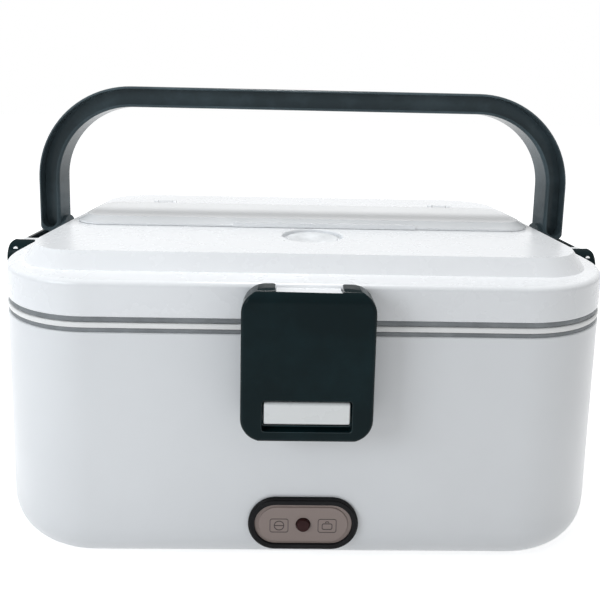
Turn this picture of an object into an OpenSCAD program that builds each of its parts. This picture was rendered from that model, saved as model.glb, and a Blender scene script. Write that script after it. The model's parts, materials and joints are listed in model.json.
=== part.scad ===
// Electric lunch box: a heated food carrier with a hinged lid, a carry handle,
// three flap latches, a clear-covered cutlery well and a removable steel tray.
// Millimetres, +Z up, front towards -Y. The origin is on the floor plane,
// under the middle of the body.

/* [Body] */
// Width of the body
body_w = 240; // [225:1:270]
// Depth of the body
body_d = 170; // [155:1:200]
// Radius of the upright corners, seen from above
corner_r = 42; // [40:1:48]
// Height of the outer shell above the feet
shell_h = 91.4; // [86:0.2:105]
// Wall of the outer shell
shell_wall = 2.4; // [2:0.1:3]
// Radius of the round bottom edge
base_round = 16; // [14:0.5:18]
// Thickness of the lip that carries the liner
lip_wall = 4; // [3.6:0.1:5]
// Height of that lip
lip_h = 6; // [4:0.5:9]

/* [Base] */
// How far the feet stand below the shell
foot_h = 1.5; // [1:0.1:3]
// Diameter of a rubber foot
foot_d = 12; // [9:0.5:14]
// How deep a foot sits in its pocket
foot_sink = 1; // [0.6:0.1:1.2]
// Thickness of the bottom cover
cover_t = 2.4; // [2.2:0.1:3]
// Thickness of the shell's inner ring above the bottom cover
ring_t = 2.4; // [2:0.1:3]
// Width of that ring
ring_w = 12; // [11:0.5:14]
// Radius of a base screw's shank
screw_r = 1.3; // [1:0.1:1.6]
// Radius of a base screw's head
screw_head_r = 2.8; // [2.4:0.1:3.2]

/* [Band between body and lid] */
// Height of the lower shadow groove
groove_h = 1.6; // [1.2:0.1:2.2]
// Depth of the lower shadow groove
groove_depth = 2; // [1.5:0.1:2.5]
// Thickness of the liner's flange, the pale band
flange_t = 2; // [1.6:0.1:3]
// Height of the gap above the flange, which shows the seal
seal_gap = 2; // [1.6:0.1:2.6]

/* [Liner and tray] */
// Distance from the outside of the body to the tray recess
recess_inset = 12; // [11:0.5:13]
// Width of the ledge that carries the tray
ledge_w = 3.5; // [3:0.1:4]
// Wall of the liner
liner_wall = 2; // [1.6:0.1:2.4]
// Height of the liner's floor above the shell's bottom
liner_floor = 27.5; // [26:0.5:34]
// Sheet thickness of the steel tray
tray_t = 0.8; // [0.6:0.1:1]
// Radius at the bottom of the tray
tray_round = 10; // [6:0.5:12]

/* [Heater] */
// Width of the heating plate
plate_w = 170; // [150:1:180]
// Depth of the heating plate
plate_d = 104; // [96:1:112]
// Thickness of the heating plate
plate_t = 2; // [1.5:0.1:3]
// How far the heating plate overlaps the liner's floor
plate_lap = 9; // [7:0.5:12]
// Height of the heater block
heater_h = 6; // [5:0.5:7]
// Height of the posts that carry the heat shield
post_h = 11; // [10:0.5:12]

/* [Lid] */
// Height of the lid's side wall
lid_side_h = 13.1; // [11:0.1:16]
// Wall of the lid
lid_wall = 2.2; // [1.8:0.1:2.6]
// Radius of the lid's top edge
rim_round = 2; // [1.6:0.1:4]
// Width of the flat rim in front of the plateau
rim_front = 12.8; // [12:0.1:14]
// Width of the flat rim beside the plateau
rim_side = 7; // [7:0.1:9]
// Radius of the plateau's corners, at its foot
plateau_r = 24.5; // [22:0.5:28]
// Height of the plateau above the rim
plateau_h = 6.4; // [5:0.1:8]
// Width of the plateau's sloped side
slope_w = 4.5; // [3.5:0.1:6]
// Thickness of the lid's inner panel
panel_t = 2; // [1.6:0.1:2.4]
// How far the inner panel's skirt reaches into the tray
skirt_h = 5; // [3:0.5:8]
// Furthest that the lid opens, in degrees
lid_open = 100; // [60:5:100]

/* [Rear hinge] */
// Distance from the body's back to the hinge axis
hinge_out = 5.5; // [5.2:0.1:6.5]
// Radius of a hinge knuckle
hinge_r = 4.2; // [3.8:0.1:4.4]
// Radius of the hinge pin
hinge_pin_r = 1.6; // [1.2:0.1:2]
// Distance from the middle to each hinge
hinge_x = 52; // [45:1:65]
// Length of the lid's knuckle
knuckle_l = 18; // [12:1:24]
// Length of each of the body's knuckles
side_knuckle_l = 8; // [6:1:12]

/* [Latches] */
// How far a latch stands out from the wall
latch_out = 12; // [11.4:0.1:12.6]
// Height of the front latch
front_latch_h = 53.3; // [50:0.1:55]
// How far the front latch rises above the lid's rim
front_latch_rise = 1.2; // [1:0.1:2.4]
// Height of each side latch
side_latch_h = 58.6; // [52:0.1:60]
// How far a side latch ends below the lid's rim
side_latch_drop = 0.2; // [0:0.1:0.6]
// Thickness of a latch's face
latch_face = 2.4; // [2:0.1:2.8]
// Thickness of a latch's side walls
latch_side = 2.2; // [1.8:0.1:2.8]
// Corner radius of a latch, seen from the front
latch_corner = 8; // [6:0.5:9]
// Width of the front latch
front_latch_w = 45.4; // [44:0.2:56]
// Width of the front latch's notch
front_notch_w = 23; // [18:1:26]
// Barrel radius of the front latch
front_barrel_r = 4.4; // [4.2:0.1:4.8]
// Width of each side latch
side_latch_w = 56; // [52:1:58]
// Width of each side latch's notch
side_notch_w = 44.2; // [43.5:0.1:45]
// Barrel radius of each side latch
side_barrel_r = 3.8; // [3.6:0.1:3.9]
// Thickness of the curved lip in a latch's notch
lip_t = 1.1; // [0.9:0.1:1.2]
// Radius of a latch pin
latch_pin_r = 1; // [0.8:0.1:1.1]
// Height of the keeper rib above the shell's bottom
keeper_z = 82; // [80:0.5:84]
// How far the keeper rib stands out
keeper_out = 2.2; // [1.6:0.1:2.6]

/* [Press bar] */
// Width of the press bar
bar_w = 29.2; // [26:0.2:34]
// Height of the press bar
bar_h = 7.8; // [7:0.1:8.6]
// Height of the bar's lower edge above the latch's lower edge
bar_z = 6.4; // [4.8:0.1:7]
// Height of the finger recess under the bar
finger_h = 2.4; // [2:0.1:2.5]
// Travel of the press bar
bar_travel = 1.5; // [1:0.1:2]

/* [Handle] */
// Outer width of the handle
handle_w = 250.8; // [250:0.2:251]
// Height of the top of the handle above the floor
handle_top = 180.5; // [170:0.5:195]
// Thickness of the handle, seen from the front
handle_t = 9.6; // [9.4:0.1:9.7]
// Depth of the handle, front to back
handle_d = 15.4; // [14:0.2:15.4]
// Radius of the handle's outer corners
handle_corner = 44; // [38:1:48]
// Radius of the handle's edges
handle_edge = 1.8; // [1.2:0.1:2.2]
// Depth of the channel in its front and back faces
channel_depth = 6; // [5:0.1:6.2]
// Width of that channel
channel_w = 7.2; // [6.4:0.1:7.4]
// Height of the handle's pivot below the lid's rim
pivot_drop = 2.4; // [2.3:0.1:2.5]
// Radius of the handle's pivot pin
pivot_r = 1.8; // [1.5:0.1:1.8]
// Radius of the hub inside each of its feet
hub_r = 8.8; // [8.2:0.1:8.8]
// Thickness of that hub
hub_t = 1.6; // [1.2:0.1:1.8]
// How far the handle leans each way, in degrees
handle_lean = 50; // [30:5:50]

/* [Cutlery well] */
// Width of the clear cover
clear_w = 212; // [200:1:212]
// Depth of the clear cover
clear_d = 46; // [40:1:48]
// Corner radius of the clear cover
clear_r = 14; // [12:0.5:16]
// Height of the clear cover
clear_h = 3.3; // [3:0.1:4.5]
// Width of the clear cover's sloped edge
clear_slope = 4; // [3:0.1:5]
// Wall of the clear cover
clear_t = 1.4; // [1.2:0.1:1.6]
// Distance from the middle of the lid to the middle of the cover
clear_y = 1.6; // [0:0.1:3]
// Depth of the cutlery well
well_depth = 10; // [6:0.5:11]
// Half the distance between the cover's two hinges
clear_hinge_x = 73; // [60:1:80]
// Width of the lift tab on the front of the clear cover
tab_w = 83; // [50:1:90]
// Distance from the middle of the lid to the middle of that tab
tab_x = 9; // [0:0.5:12]

/* [Steam vent] */
// Radius of the vent's dish
vent_r = 13; // [11:0.5:13.5]
// Depth of the vent's dish
vent_depth = 2.4; // [1.8:0.1:3]
// Distance from the middle of the lid to the vent
vent_y = -35.6; // [-40:0.1:-35.6]
// Distance of the vent to the right of the middle
vent_x = 3; // [0:0.5:6]
// Radius of the vent's stem
stem_r = 3; // [2:0.1:4]
// How far the vent plug lifts
vent_lift = 14; // [10:1:20]

/* [Lamp panel] */
// Width of the lamp panel's bezel
bezel_w = 40.4; // [38:0.2:46]
// Height of the lamp panel's bezel
bezel_h = 20.2; // [19:0.2:24]
// Width of the bezel's ring
bezel_ring = 2.3; // [2:0.1:3]
// How far the bezel stands out
bezel_out = 1.8; // [1.2:0.1:2.4]
// Height of the panel's middle above the shell's bottom
lamp_z = 19.8; // [18:0.1:24]
// Radius of the indicator lamp
lamp_r = 2.5; // [1.5:0.1:3]

/* [Power inlet] */
// Width of the inlet housing
inlet_w = 30; // [26:1:36]
// Height of the inlet housing
inlet_h = 20; // [18:1:22]
// Depth of the inlet housing
inlet_depth = 12.4; // [10:0.2:12.6]
// Radius of a contact pin
contact_r = 2; // [1.5:0.1:2.4]
// Distance between the contact pins
contact_pitch = 12; // [10:0.5:13]

/* [Hidden] */
$fn = 72;
// Clearances
gap = 0.3; // between pieces that pass each other
run = 0.05; // round a pin that turns
eps = 0.01;

// Heights
base_z = foot_h;
shell_top = base_z + shell_h;
flange_z = shell_top + groove_h;
flange_top = flange_z + flange_t;
lid_z = flange_top + seal_gap;
rim_z = lid_z + lid_side_h;
plateau_z = rim_z + plateau_h;
inner_floor = base_z + cover_t + 0.2 + ring_t;

// Radii of the upright corners, each at its inset from the outside
cover_cr = corner_r - base_round;
ring_cr = cover_cr - ring_w;
recess_cr = corner_r - recess_inset;
well_cr = recess_cr - ledge_w;
tray_cr = well_cr - 0.6;
lid_in_cr = corner_r - lid_wall;
panel_cr = lid_in_cr - gap;
plateau_w = body_w - 2 * rim_side;
plateau_d = body_d - 2 * rim_front;

// Liner and heater
floor_z = base_z + liner_floor;
plate_z = floor_z + liner_wall;
tray_z = plate_z + plate_t;
opening_w = plate_w - 2 * plate_lap;
opening_d = plate_d - 2 * plate_lap;
recess_z = flange_z + 0.3;
shield_z = floor_z - post_h;
shield_t = 1;
post_r = 3.2;
post_x = plate_w / 2 + 4;
post_y = opening_d / 2 - 6;

// Hinge
hinge_y = body_d / 2 + hinge_out;
hinge_z = lid_z - 1;
end_gap = 0.4;

// Latches, in a frame where the wall faces -Y
front_top = rim_z + front_latch_rise;
side_top = rim_z - side_latch_drop;
latch_back = 0.8;
// Angle, from the horizontal, at which the curved lip ends
front_lip_end = 54;
latch_open = 100;
side_lip_end = 9;

// Handle
pivot_z = rim_z - pivot_drop;
leg_out = handle_w / 2;
leg_in = leg_out - handle_t;
pocket_x = leg_in - hub_t - gap;
pocket_low = pivot_z - hub_r - gap;
pocket_y = handle_d / 2 / cos(handle_lean) + pivot_drop * tan(handle_lean) + 0.3;
foot_end = rim_z + 0.2;
foot_corner = 3.6;
tongue_t = 5;
pin_root = 9;
head_t = 1.4;
head_r = pivot_r + 1.8;

// Cutlery well
well_w = clear_w - 2 * clear_slope - 6;
well_d = clear_d - 2 * clear_slope - 4;
clear_z = plateau_z + 0.2;
clear_top = clear_z + clear_h;
clear_back = clear_y + clear_d / 2;
clear_axis_y = clear_back + 2;
clear_axis_z = plateau_z + 1.9;
clear_knuckle_r = 1.7;
clear_pin_r = 0.8;
clear_knuckle_l = 7;
lug_l = 2;

// Lamp panel and inlet
panel_z = base_z + lamp_z;
inlet_z = base_z + 23;
board_w = 50;
board_d = 30;
board_t = 1.6;
board_x = 30;
board_y = 40;
board_post_h = 5;
board_z = base_z + cover_t + board_post_h;

// ---------------------------------------------------------------- helpers

// A wall profile, drawn at x from the corner's axis, carried round a
// rounded rectangle.
module around(w, d, r) {
    for (k = [0:3]) {
        across = k % 2 == 0 ? w : d;
        along = k % 2 == 0 ? d : w;
        rotate([0, 0, 90 * k]) translate([across / 2 - r, along / 2 - r, 0]) {
            rotate([90, 0, 0]) linear_extrude(along - 2 * r) children();
            rotate_extrude(angle = 90) children();
        }
    }
}

// A profile that reaches the corner's axis, with the middle filled from
// z0 to z1.
module filled(w, d, r, z0, z1) {
    around(w, d, r) children();
    translate([r - w / 2, r - d / 2, z0]) cube([w - 2 * r, d - 2 * r, z1 - z0]);
}

// A flat plate with round corners, from z0 to z1.
module plate(w, d, r, z0, z1) {
    filled(w, d, r, z0, z1) translate([0, z0]) square([r, z1 - z0]);
}

// A block of profile from the axis to x1, with its lower outer edge round.
module low_round(x1, z0, z1, r) {
    translate([0, z0]) square([x1 - r, z1 - z0]);
    translate([0, z0 + r]) square([x1, z1 - z0 - r]);
    translate([x1 - r, z0 + r]) circle(r);
}

// The same with its upper outer edge round.
module high_round(x1, z0, z1, r) {
    translate([0, z0]) square([x1 - r, z1 - z0]);
    translate([0, z0]) square([x1, z1 - z0 - r]);
    translate([x1 - r, z1 - r]) circle(r);
}

// A profile in Y and Z, carried along X from x0 to x1.
module along_x(x0, x1) {
    translate([x0, 0, 0]) rotate([90, 0, 90]) linear_extrude(x1 - x0) children();
}

// A profile in X and Z, carried along Y from y0 to y1.
module along_y(y0, y1) {
    translate([0, y1, 0]) rotate([90, 0, 0]) linear_extrude(y1 - y0) children();
}

// A flat shape with round ends, in the XY plane.
module stadium(w, h) {
    square([w - h, h], center = true);
    for (s = [-1, 1]) translate([s * (w - h) / 2, 0]) circle(h / 2);
}

// A rounded rectangle in the XY plane.
module round_rect(w, h, r) {
    square([w - 2 * r, h], center = true);
    square([w, h - 2 * r], center = true);
    for (sx = [-1, 1], sy = [-1, 1])
        translate([sx * (w / 2 - r), sy * (h / 2 - r)]) circle(r);
}

// A screw that points up: head, shank and cross recess, with its head's
// underside at z = 0.
module screw(head_radius, head_h, shank_r, length) {
    difference() {
        union() {
            translate([0, 0, -head_h]) cylinder(r = head_radius, h = head_h);
            cylinder(r = shank_r, h = length);
        }
        for (a = [0, 90]) rotate([0, 0, a])
            translate([-head_radius * 0.6, -0.4, -head_h - eps])
                cube([head_radius * 1.2, 0.8, head_h * 0.5]);
    }
}

// Copies at the four corners of a rectangle.
module four(x, y) {
    for (sx = [-1, 1], sy = [-1, 1]) translate([sx * x, sy * y, 0]) children();
}

// ------------------------------------------------------------------- body

base_boss_x = body_w / 2 - corner_r + (ring_cr + ring_w / 2) * cos(45);
base_boss_y = body_d / 2 - corner_r + (ring_cr + ring_w / 2) * sin(45);
base_boss_r = screw_r + 2.2;
base_boss_h = 9;

module shell_profile() {
    difference() {
        low_round(corner_r, base_z, shell_top, base_round);
        low_round(corner_r - shell_wall, inner_floor, shell_top + 1, base_round - shell_wall);
        translate([-1, base_z - 1]) square([ring_cr + 1, inner_floor - base_z + 2]);
        translate([-1, base_z - 1]) square([cover_cr + 1, cover_t + 1.2]);
    }
    translate([corner_r - lip_wall, shell_top - lip_h]) square([lip_wall, lip_h]);
}

// The side view of a knuckle and its arm; dir is -1 down to the body, 1 up
// to the lid.
module knuckle_profile(dir) {
    wall_y = body_d / 2 - 1;
    difference() {
        union() {
            translate([hinge_y, hinge_z]) circle(hinge_r);
            if (dir < 0)
                polygon([
                    [wall_y, shell_top - 14], [wall_y, shell_top - 3],
                    [hinge_y - hinge_r * 0.9, shell_top - 0.4], [hinge_y, hinge_z],
                    [hinge_y + hinge_r, hinge_z], [hinge_y + hinge_r, hinge_z - 5]
                ]);
            else
                polygon([
                    [wall_y, lid_z + 0.6], [hinge_y - hinge_r * 0.8, lid_z + 0.6], [hinge_y, hinge_z],
                    [hinge_y + hinge_r, hinge_z], [hinge_y + hinge_r, hinge_z + 3], [wall_y, lid_z + 9]
                ]);
        }
        translate([hinge_y, hinge_z]) circle(dir < 0 ? hinge_pin_r : hinge_pin_r + run);
    }
}

module keepers() {
    for (k = [0, 1, 3]) rotate([0, 0, 90 * k]) {
        wall = k == 0 ? body_d / 2 : body_w / 2;
        translate([-front_latch_w / 2 + latch_side + 4, -wall - keeper_out, base_z + keeper_z])
            cube([front_latch_w - 2 * latch_side - 8, keeper_out + 1, 3]);
    }
}

module outer_shell() {
    color([0.86, 0.88, 0.9]) difference() {
        union() {
            around(body_w, body_d, corner_r) shell_profile();
            translate([0, 0, inner_floor - 0.5]) four(base_boss_x, base_boss_y)
                cylinder(r = base_boss_r, h = base_boss_h);
            keepers();
            for (s = [-1, 1], e = [-1, 1]) {
                mid = s * hinge_x + e * (knuckle_l / 2 + end_gap + side_knuckle_l / 2);
                along_x(mid - side_knuckle_l / 2, mid + side_knuckle_l / 2) knuckle_profile(-1);
            }
        }
        translate([0, 0, base_z]) four(base_boss_x, base_boss_y) cylinder(r = screw_r, h = 18);
        translate([0, -body_d / 2 + shell_wall + 1, panel_z]) rotate([90, 0, 0])
            linear_extrude(shell_wall + 2) stadium(bezel_w - 2 * bezel_ring, bezel_h - 2 * bezel_ring);
        translate([-inlet_w / 2, body_d / 2 - shell_wall - 1, inlet_z - inlet_h / 2])
            cube([inlet_w, shell_wall + 2, inlet_h]);
    }
}

cover_w = body_w - 2 * base_round - 2 * gap;
cover_d = body_d - 2 * base_round - 2 * gap;
foot_x = cover_w / 2 - foot_d / 2 - 16;
foot_y = cover_d / 2 - foot_d / 2 - 6;

module bottom_cover() {
    color([0.8, 0.81, 0.82]) difference() {
        union() {
            plate(cover_w, cover_d, cover_cr - gap, base_z, base_z + cover_t);
            translate([board_x, board_y, base_z + cover_t - eps])
                for (s = [-1, 1]) translate([s * (board_w / 2 - 5), 0, 0])
                    cylinder(r = 3, h = board_post_h + eps);
        }
        translate([0, 0, base_z - 1]) four(base_boss_x, base_boss_y) {
            cylinder(r = screw_r + 0.3, h = cover_t + 2);
            cylinder(r = screw_head_r + gap, h = 2.3);
        }
        translate([0, 0, base_z - 1]) four(foot_x, foot_y) cylinder(r = foot_d / 2, h = 1 + foot_sink);
        for (s = [-1, 1]) translate([board_x + s * (board_w / 2 - 5), board_y, base_z + cover_t + 1])
            cylinder(r = 1, h = board_post_h + 1);
        for (i = [-3:3]) translate([i * 9, -12, base_z + cover_t / 2])
            cube([2.4, 26, cover_t + 2], center = true);
    }
}

module rubber_feet() {
    color([0.2, 0.2, 0.21]) four(foot_x, foot_y) rotate_extrude()
        difference() {
            square([foot_d / 2, foot_h + foot_sink]);
            translate([foot_d / 2, 0]) rotate([0, 0, 45]) square(1, center = true);
        }
}

module base_screws() {
    color([0.7, 0.7, 0.72]) translate([0, 0, base_z + 1.3])
        four(base_boss_x, base_boss_y) screw(screw_head_r, 1.2, screw_r, base_boss_h);
}

// ---------------------------------------------------------- liner and tray

module inner_liner() {
    color([0.95, 0.95, 0.95]) difference() {
        union() {
            filled(body_w, body_d, corner_r, floor_z, plate_z) {
                difference() {
                    low_round(well_cr + liner_wall, floor_z, recess_z, 8);
                    low_round(well_cr, plate_z, recess_z + 1, 8 - liner_wall);
                }
                difference() {
                    translate([well_cr, shell_top])
                        square([corner_r - groove_depth - well_cr, recess_z - shell_top]);
                }
                translate([recess_cr, flange_z]) square([corner_r - recess_cr, flange_t]);
            }
            four(post_x, post_y) translate([0, 0, shield_z + shield_t])
                cylinder(r = post_r, h = floor_z - shield_z - shield_t + 1);
        }
        plate(opening_w, opening_d, 8, floor_z - 1, plate_z + 1);
        four(post_x, post_y) translate([0, 0, shield_z]) cylinder(r = 1.2, h = post_h - 1);
    }
}

module steel_tray() {
    color([0.78, 0.79, 0.8]) filled(body_w, body_d, corner_r, tray_z, tray_z + tray_t) {
        difference() {
            low_round(tray_cr, tray_z, recess_z + tray_t, tray_round);
            low_round(tray_cr - tray_t, tray_z + tray_t, recess_z + 2, tray_round - tray_t);
        }
        translate([tray_cr - tray_t / 2, recess_z])
            square([recess_cr - gap - tray_cr + tray_t / 2 - tray_t / 2, tray_t]);
        translate([recess_cr - gap - tray_t / 2, recess_z + tray_t / 2]) circle(tray_t / 2);
    }
}

// ---------------------------------------------------------------- heater

heater_w = 76;
heater_d = 34;
clamp_t = 1;
clamp_w = 14;
clamp_x = heater_w / 2 + 8;

module heating_plate() {
    color([0.72, 0.73, 0.74]) difference() {
        plate(plate_w, plate_d, 14, plate_z, plate_z + plate_t);
        for (s = [-1, 1]) translate([s * clamp_x, 0, plate_z - 1]) cylinder(r = 1.2, h = 2.2);
    }
}

module heater_block() {
    color([0.85, 0.82, 0.74]) translate([-heater_w / 2, -heater_d / 2, plate_z - heater_h])
        cube([heater_w, heater_d, heater_h]);
}

module heater_clamp() {
    low = plate_z - heater_h - clamp_t;
    color([0.66, 0.67, 0.69]) difference() {
        along_y(-clamp_w / 2, clamp_w / 2) {
            translate([-heater_w / 2 - clamp_t, low]) square([heater_w + 2 * clamp_t, clamp_t]);
            for (s = [0, 1]) mirror([s, 0]) {
                translate([heater_w / 2, low]) square([clamp_t, heater_h + clamp_t]);
                translate([heater_w / 2, plate_z - clamp_t]) square([15, clamp_t]);
            }
        }
        for (s = [-1, 1]) translate([s * clamp_x, 0, low]) cylinder(r = 1.4, h = heater_h + 2);
    }
}

module clamp_screws() {
    color([0.7, 0.7, 0.72]) for (s = [-1, 1])
        translate([s * clamp_x, 0, plate_z - clamp_t]) screw(2.6, 1.4, 1.2, clamp_t + 1.2);
}

module thermostat() {
    color([0.3, 0.3, 0.32]) translate([clamp_x + 16, 0, 0]) {
        translate([0, 0, plate_z - 5]) cylinder(r = 7, h = 5);
        for (s = [-1, 1]) translate([s * 4 - 0.4, -1.5, plate_z - 9]) cube([0.8, 3, 4.2]);
    }
}

module thermal_fuse() {
    color([0.75, 0.6, 0.4]) translate([-clamp_x - 16, 0, 0]) {
        translate([-4, -8, plate_z - 3.6]) cube([8, 16, 3.6]);
        for (s = [-1, 1]) translate([0, s * 8, plate_z - 1.8]) rotate([-90 * s, 0, 0]) cylinder(r = 0.5, h = 5);
    }
}

module heat_shield() {
    color([0.75, 0.76, 0.77]) difference() {
        plate(2 * post_x + 14, 2 * post_y + 14, 8, shield_z, shield_z + shield_t);
        four(post_x, post_y) translate([0, 0, shield_z - 1]) cylinder(r = 1.3, h = 3);
        for (x = [-clamp_x - 16, clamp_x + 16]) translate([x, 0, shield_z - 1]) cylinder(r = 5, h = 3);
    }
}

module shield_screws() {
    color([0.7, 0.7, 0.72]) translate([0, 0, shield_z])
        four(post_x, post_y) screw(2.6, 1.4, 1.2, shield_t + 6);
}

module insulation_pad() {
    color([0.9, 0.9, 0.86]) plate(heater_w + 24, heater_d + 24, 6, shield_z + shield_t, shield_z + shield_t + 2);
}

// ---------------------------------------------------------- electric parts

module circuit_board() {
    color([0.2, 0.42, 0.28]) difference() {
        translate([board_x - board_w / 2, board_y - board_d / 2, board_z]) cube([board_w, board_d, board_t]);
        for (s = [-1, 1]) translate([board_x + s * (board_w / 2 - 5), board_y, board_z - 1])
            cylinder(r = 1.2, h = board_t + 2);
    }
}

module terminal_block() {
    color([0.3, 0.5, 0.35]) translate([board_x, board_y + 6, board_z + board_t])
        for (i = [-1:1]) translate([i * 7.2, 0, 0]) difference() {
            translate([-3.5, -4.5, 0]) cube([7, 9, 5]);
            translate([0, 0, 2]) cylinder(r = 1.6, h = 4);
            translate([-1.8, -5, 0.8]) cube([3.6, 3, 2.6]);
        }
}

module board_screws() {
    color([0.7, 0.7, 0.72]) for (s = [-1, 1])
        translate([board_x + s * (board_w / 2 - 5), board_y, board_z + board_t])
            rotate([180, 0, 0]) screw(2, 1, 1, board_t + board_post_h - 2);
}

// An insulated lead: straight runs between points, with round elbows.
module lead(points, r) {
    for (i = [0:len(points) - 2]) {
        a = points[i];
        v = points[i + 1] - a;
        translate(a) {
            rotate([0, acos(v[2] / norm(v)), atan2(v[1], v[0])]) cylinder(r = r, h = norm(v), $fn = 24);
            if (i > 0) sphere(r + 0.05, $fn = 24);
        }
    }
}

lead_r = 0.9;

module lead_wires() {
    duct_z = board_z + board_t + 6;
    plug_z = board_z + board_t + 2;
    inlet_back = body_d / 2 - inlet_depth - 3;
    color([0.75, 0.25, 0.2]) {
        for (s = [-1, 1])
            lead([[s * contact_pitch / 2, inlet_back, inlet_z], [s * contact_pitch / 2, inlet_back - 1.4, inlet_z],
                [s * contact_pitch / 2 + 5, inlet_back - 5, duct_z + 2 + s], [board_x + s * 7.2, board_y + 12, plug_z + 0.5 * s],
                [board_x + s * 7.2, board_y + 10.5, plug_z + 0.5 * s]], lead_r);
        for (s = [-1, 1])
            lead([[s * 1.27, -body_d / 2 + 14, panel_z], [s * 3, -body_d / 2 + 22, board_z + 2],
                [board_x + s * 3, board_y - board_d / 2 - 6, board_z - 1.5 + s], [board_x + s * 3, board_y - board_d / 2 - 1.3, board_z + board_t + lead_r]], lead_r);
    }
}

// ------------------------------------------------------------- lamp panel

module lamp_bezel() {
    color([0.09, 0.09, 0.1]) translate([0, -body_d / 2, panel_z]) rotate([90, 0, 0]) difference() {
        union() {
            linear_extrude(bezel_out - 0.6) stadium(bezel_w, bezel_h);
            linear_extrude(bezel_out) stadium(bezel_w - 1.2, bezel_h - 1.2);
            translate([0, 0, -shell_wall - 0.6]) linear_extrude(shell_wall + 1)
                stadium(bezel_w - 2 * bezel_ring, bezel_h - 2 * bezel_ring);
        }
        translate([0, 0, 0.6]) linear_extrude(bezel_out) stadium(bezel_w - 2 * bezel_ring, bezel_h - 2 * bezel_ring);
        translate([0, 0, -shell_wall - 1]) cylinder(r = lamp_r + 0.3, h = shell_wall + 4);
    }
}

module lamp_fascia() {
    color([0.68, 0.62, 0.6]) translate([0, -body_d / 2 - 0.6, panel_z]) rotate([90, 0, 0]) difference() {
        union() {
            linear_extrude(0.4) stadium(bezel_w - 2 * bezel_ring, bezel_h - 2 * bezel_ring);
            linear_extrude(0.9) stadium(bezel_w - 2 * bezel_ring - 3.2, bezel_h - 2 * bezel_ring - 2.2);
        }
        translate([0, 0, -1]) cylinder(r = lamp_r + 0.2, h = 3);
    }
}

module indicator_lamp() {
    color([0.2, 0.12, 0.1]) translate([0, -body_d / 2 + 10, panel_z]) rotate([90, 0, 0]) {
        cylinder(r = lamp_r + 0.5, h = 1);
        cylinder(r = lamp_r, h = 11.2);
        translate([0, 0, 11.2]) intersection() {
            sphere(lamp_r);
            cylinder(r = lamp_r + 1, h = 1.2);
        }
        for (s = [-1, 1]) translate([s * 1.27, 0, -4]) cylinder(r = 0.3, h = 4.1, $fn = 16);
    }
}

module lamp_holder() {
    inner = -body_d / 2 + shell_wall + 0.6;
    color([0.2, 0.2, 0.22]) difference() {
        translate([-7, inner, panel_z - 5]) cube([14, 9, 10]);
        translate([0, inner - 1, panel_z]) rotate([-90, 0, 0]) cylinder(r = lamp_r, h = 12);
        translate([0, -body_d / 2 + 9, panel_z]) rotate([-90, 0, 0]) cylinder(r = lamp_r + 0.5, h = 6);
    }
}

// ------------------------------------------------------------ power inlet

module power_inlet() {
    face = body_d / 2;
    color([0.1, 0.1, 0.11]) difference() {
        union() {
            translate([-inlet_w / 2, face - inlet_depth, inlet_z - inlet_h / 2])
                cube([inlet_w, inlet_depth + 0.5, inlet_h]);
            translate([0, face + 1.2, inlet_z]) rotate([90, 0, 0])
                linear_extrude(1.2) round_rect(inlet_w + 5, inlet_h + 5, 3);
        }
        translate([0, face + 2, inlet_z]) rotate([90, 0, 0])
            linear_extrude(inlet_depth) round_rect(inlet_w - 4, inlet_h - 6, 4);
        for (s = [-1, 1]) translate([s * contact_pitch / 2, face - inlet_depth - 1, inlet_z])
            rotate([-90, 0, 0]) cylinder(r = contact_r, h = 6);
    }
}

module inlet_contacts() {
    color([0.8, 0.66, 0.32]) for (s = [-1, 1])
        translate([s * contact_pitch / 2, body_d / 2 - inlet_depth - 3, inlet_z]) rotate([-90, 0, 0]) {
            cylinder(r = contact_r, h = inlet_depth - 2.5);
            translate([0, 0, inlet_depth - 2.5]) intersection() {
                sphere(contact_r);
                cylinder(r = contact_r + 1, h = contact_r);
            }
        }
}

module rear_hinge_pins() {
    half = knuckle_l / 2 + end_gap + side_knuckle_l;
    color([0.7, 0.7, 0.72]) for (s = [-1, 1])
        translate([s * hinge_x - half, hinge_y, hinge_z]) rotate([0, 90, 0]) cylinder(r = hinge_pin_r, h = 2 * half);
}

// -------------------------------------------------------------------- lid

lid_boss_x = body_w / 2 - 23.6;
lid_boss_y = body_d / 2 - 23.6;

module lid_skin() {
    difference() {
        union() {
            filled(body_w, body_d, corner_r, lid_z, rim_z) high_round(corner_r, lid_z, rim_z, rim_round);
            filled(plateau_w, plateau_d, plateau_r, rim_z - 1, plateau_z) polygon([
                [0, rim_z - 1], [plateau_r, rim_z - 1], [plateau_r, rim_z],
                [plateau_r - slope_w, plateau_z], [0, plateau_z]
            ]);
        }
        filled(body_w, body_d, corner_r, lid_z - 1, rim_z - lid_wall)
            high_round(lid_in_cr, lid_z - 1, rim_z - lid_wall, max(0.5, rim_round - lid_wall));
        filled(plateau_w, plateau_d, plateau_r, rim_z - lid_wall - 1, plateau_z - lid_wall) polygon([
            [0, rim_z - lid_wall - 1], [plateau_r - lid_wall, rim_z - lid_wall - 1],
            [plateau_r - lid_wall, rim_z - lid_wall], [plateau_r - slope_w - lid_wall, plateau_z - lid_wall],
            [0, plateau_z - lid_wall]
        ]);
    }
}

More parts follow.
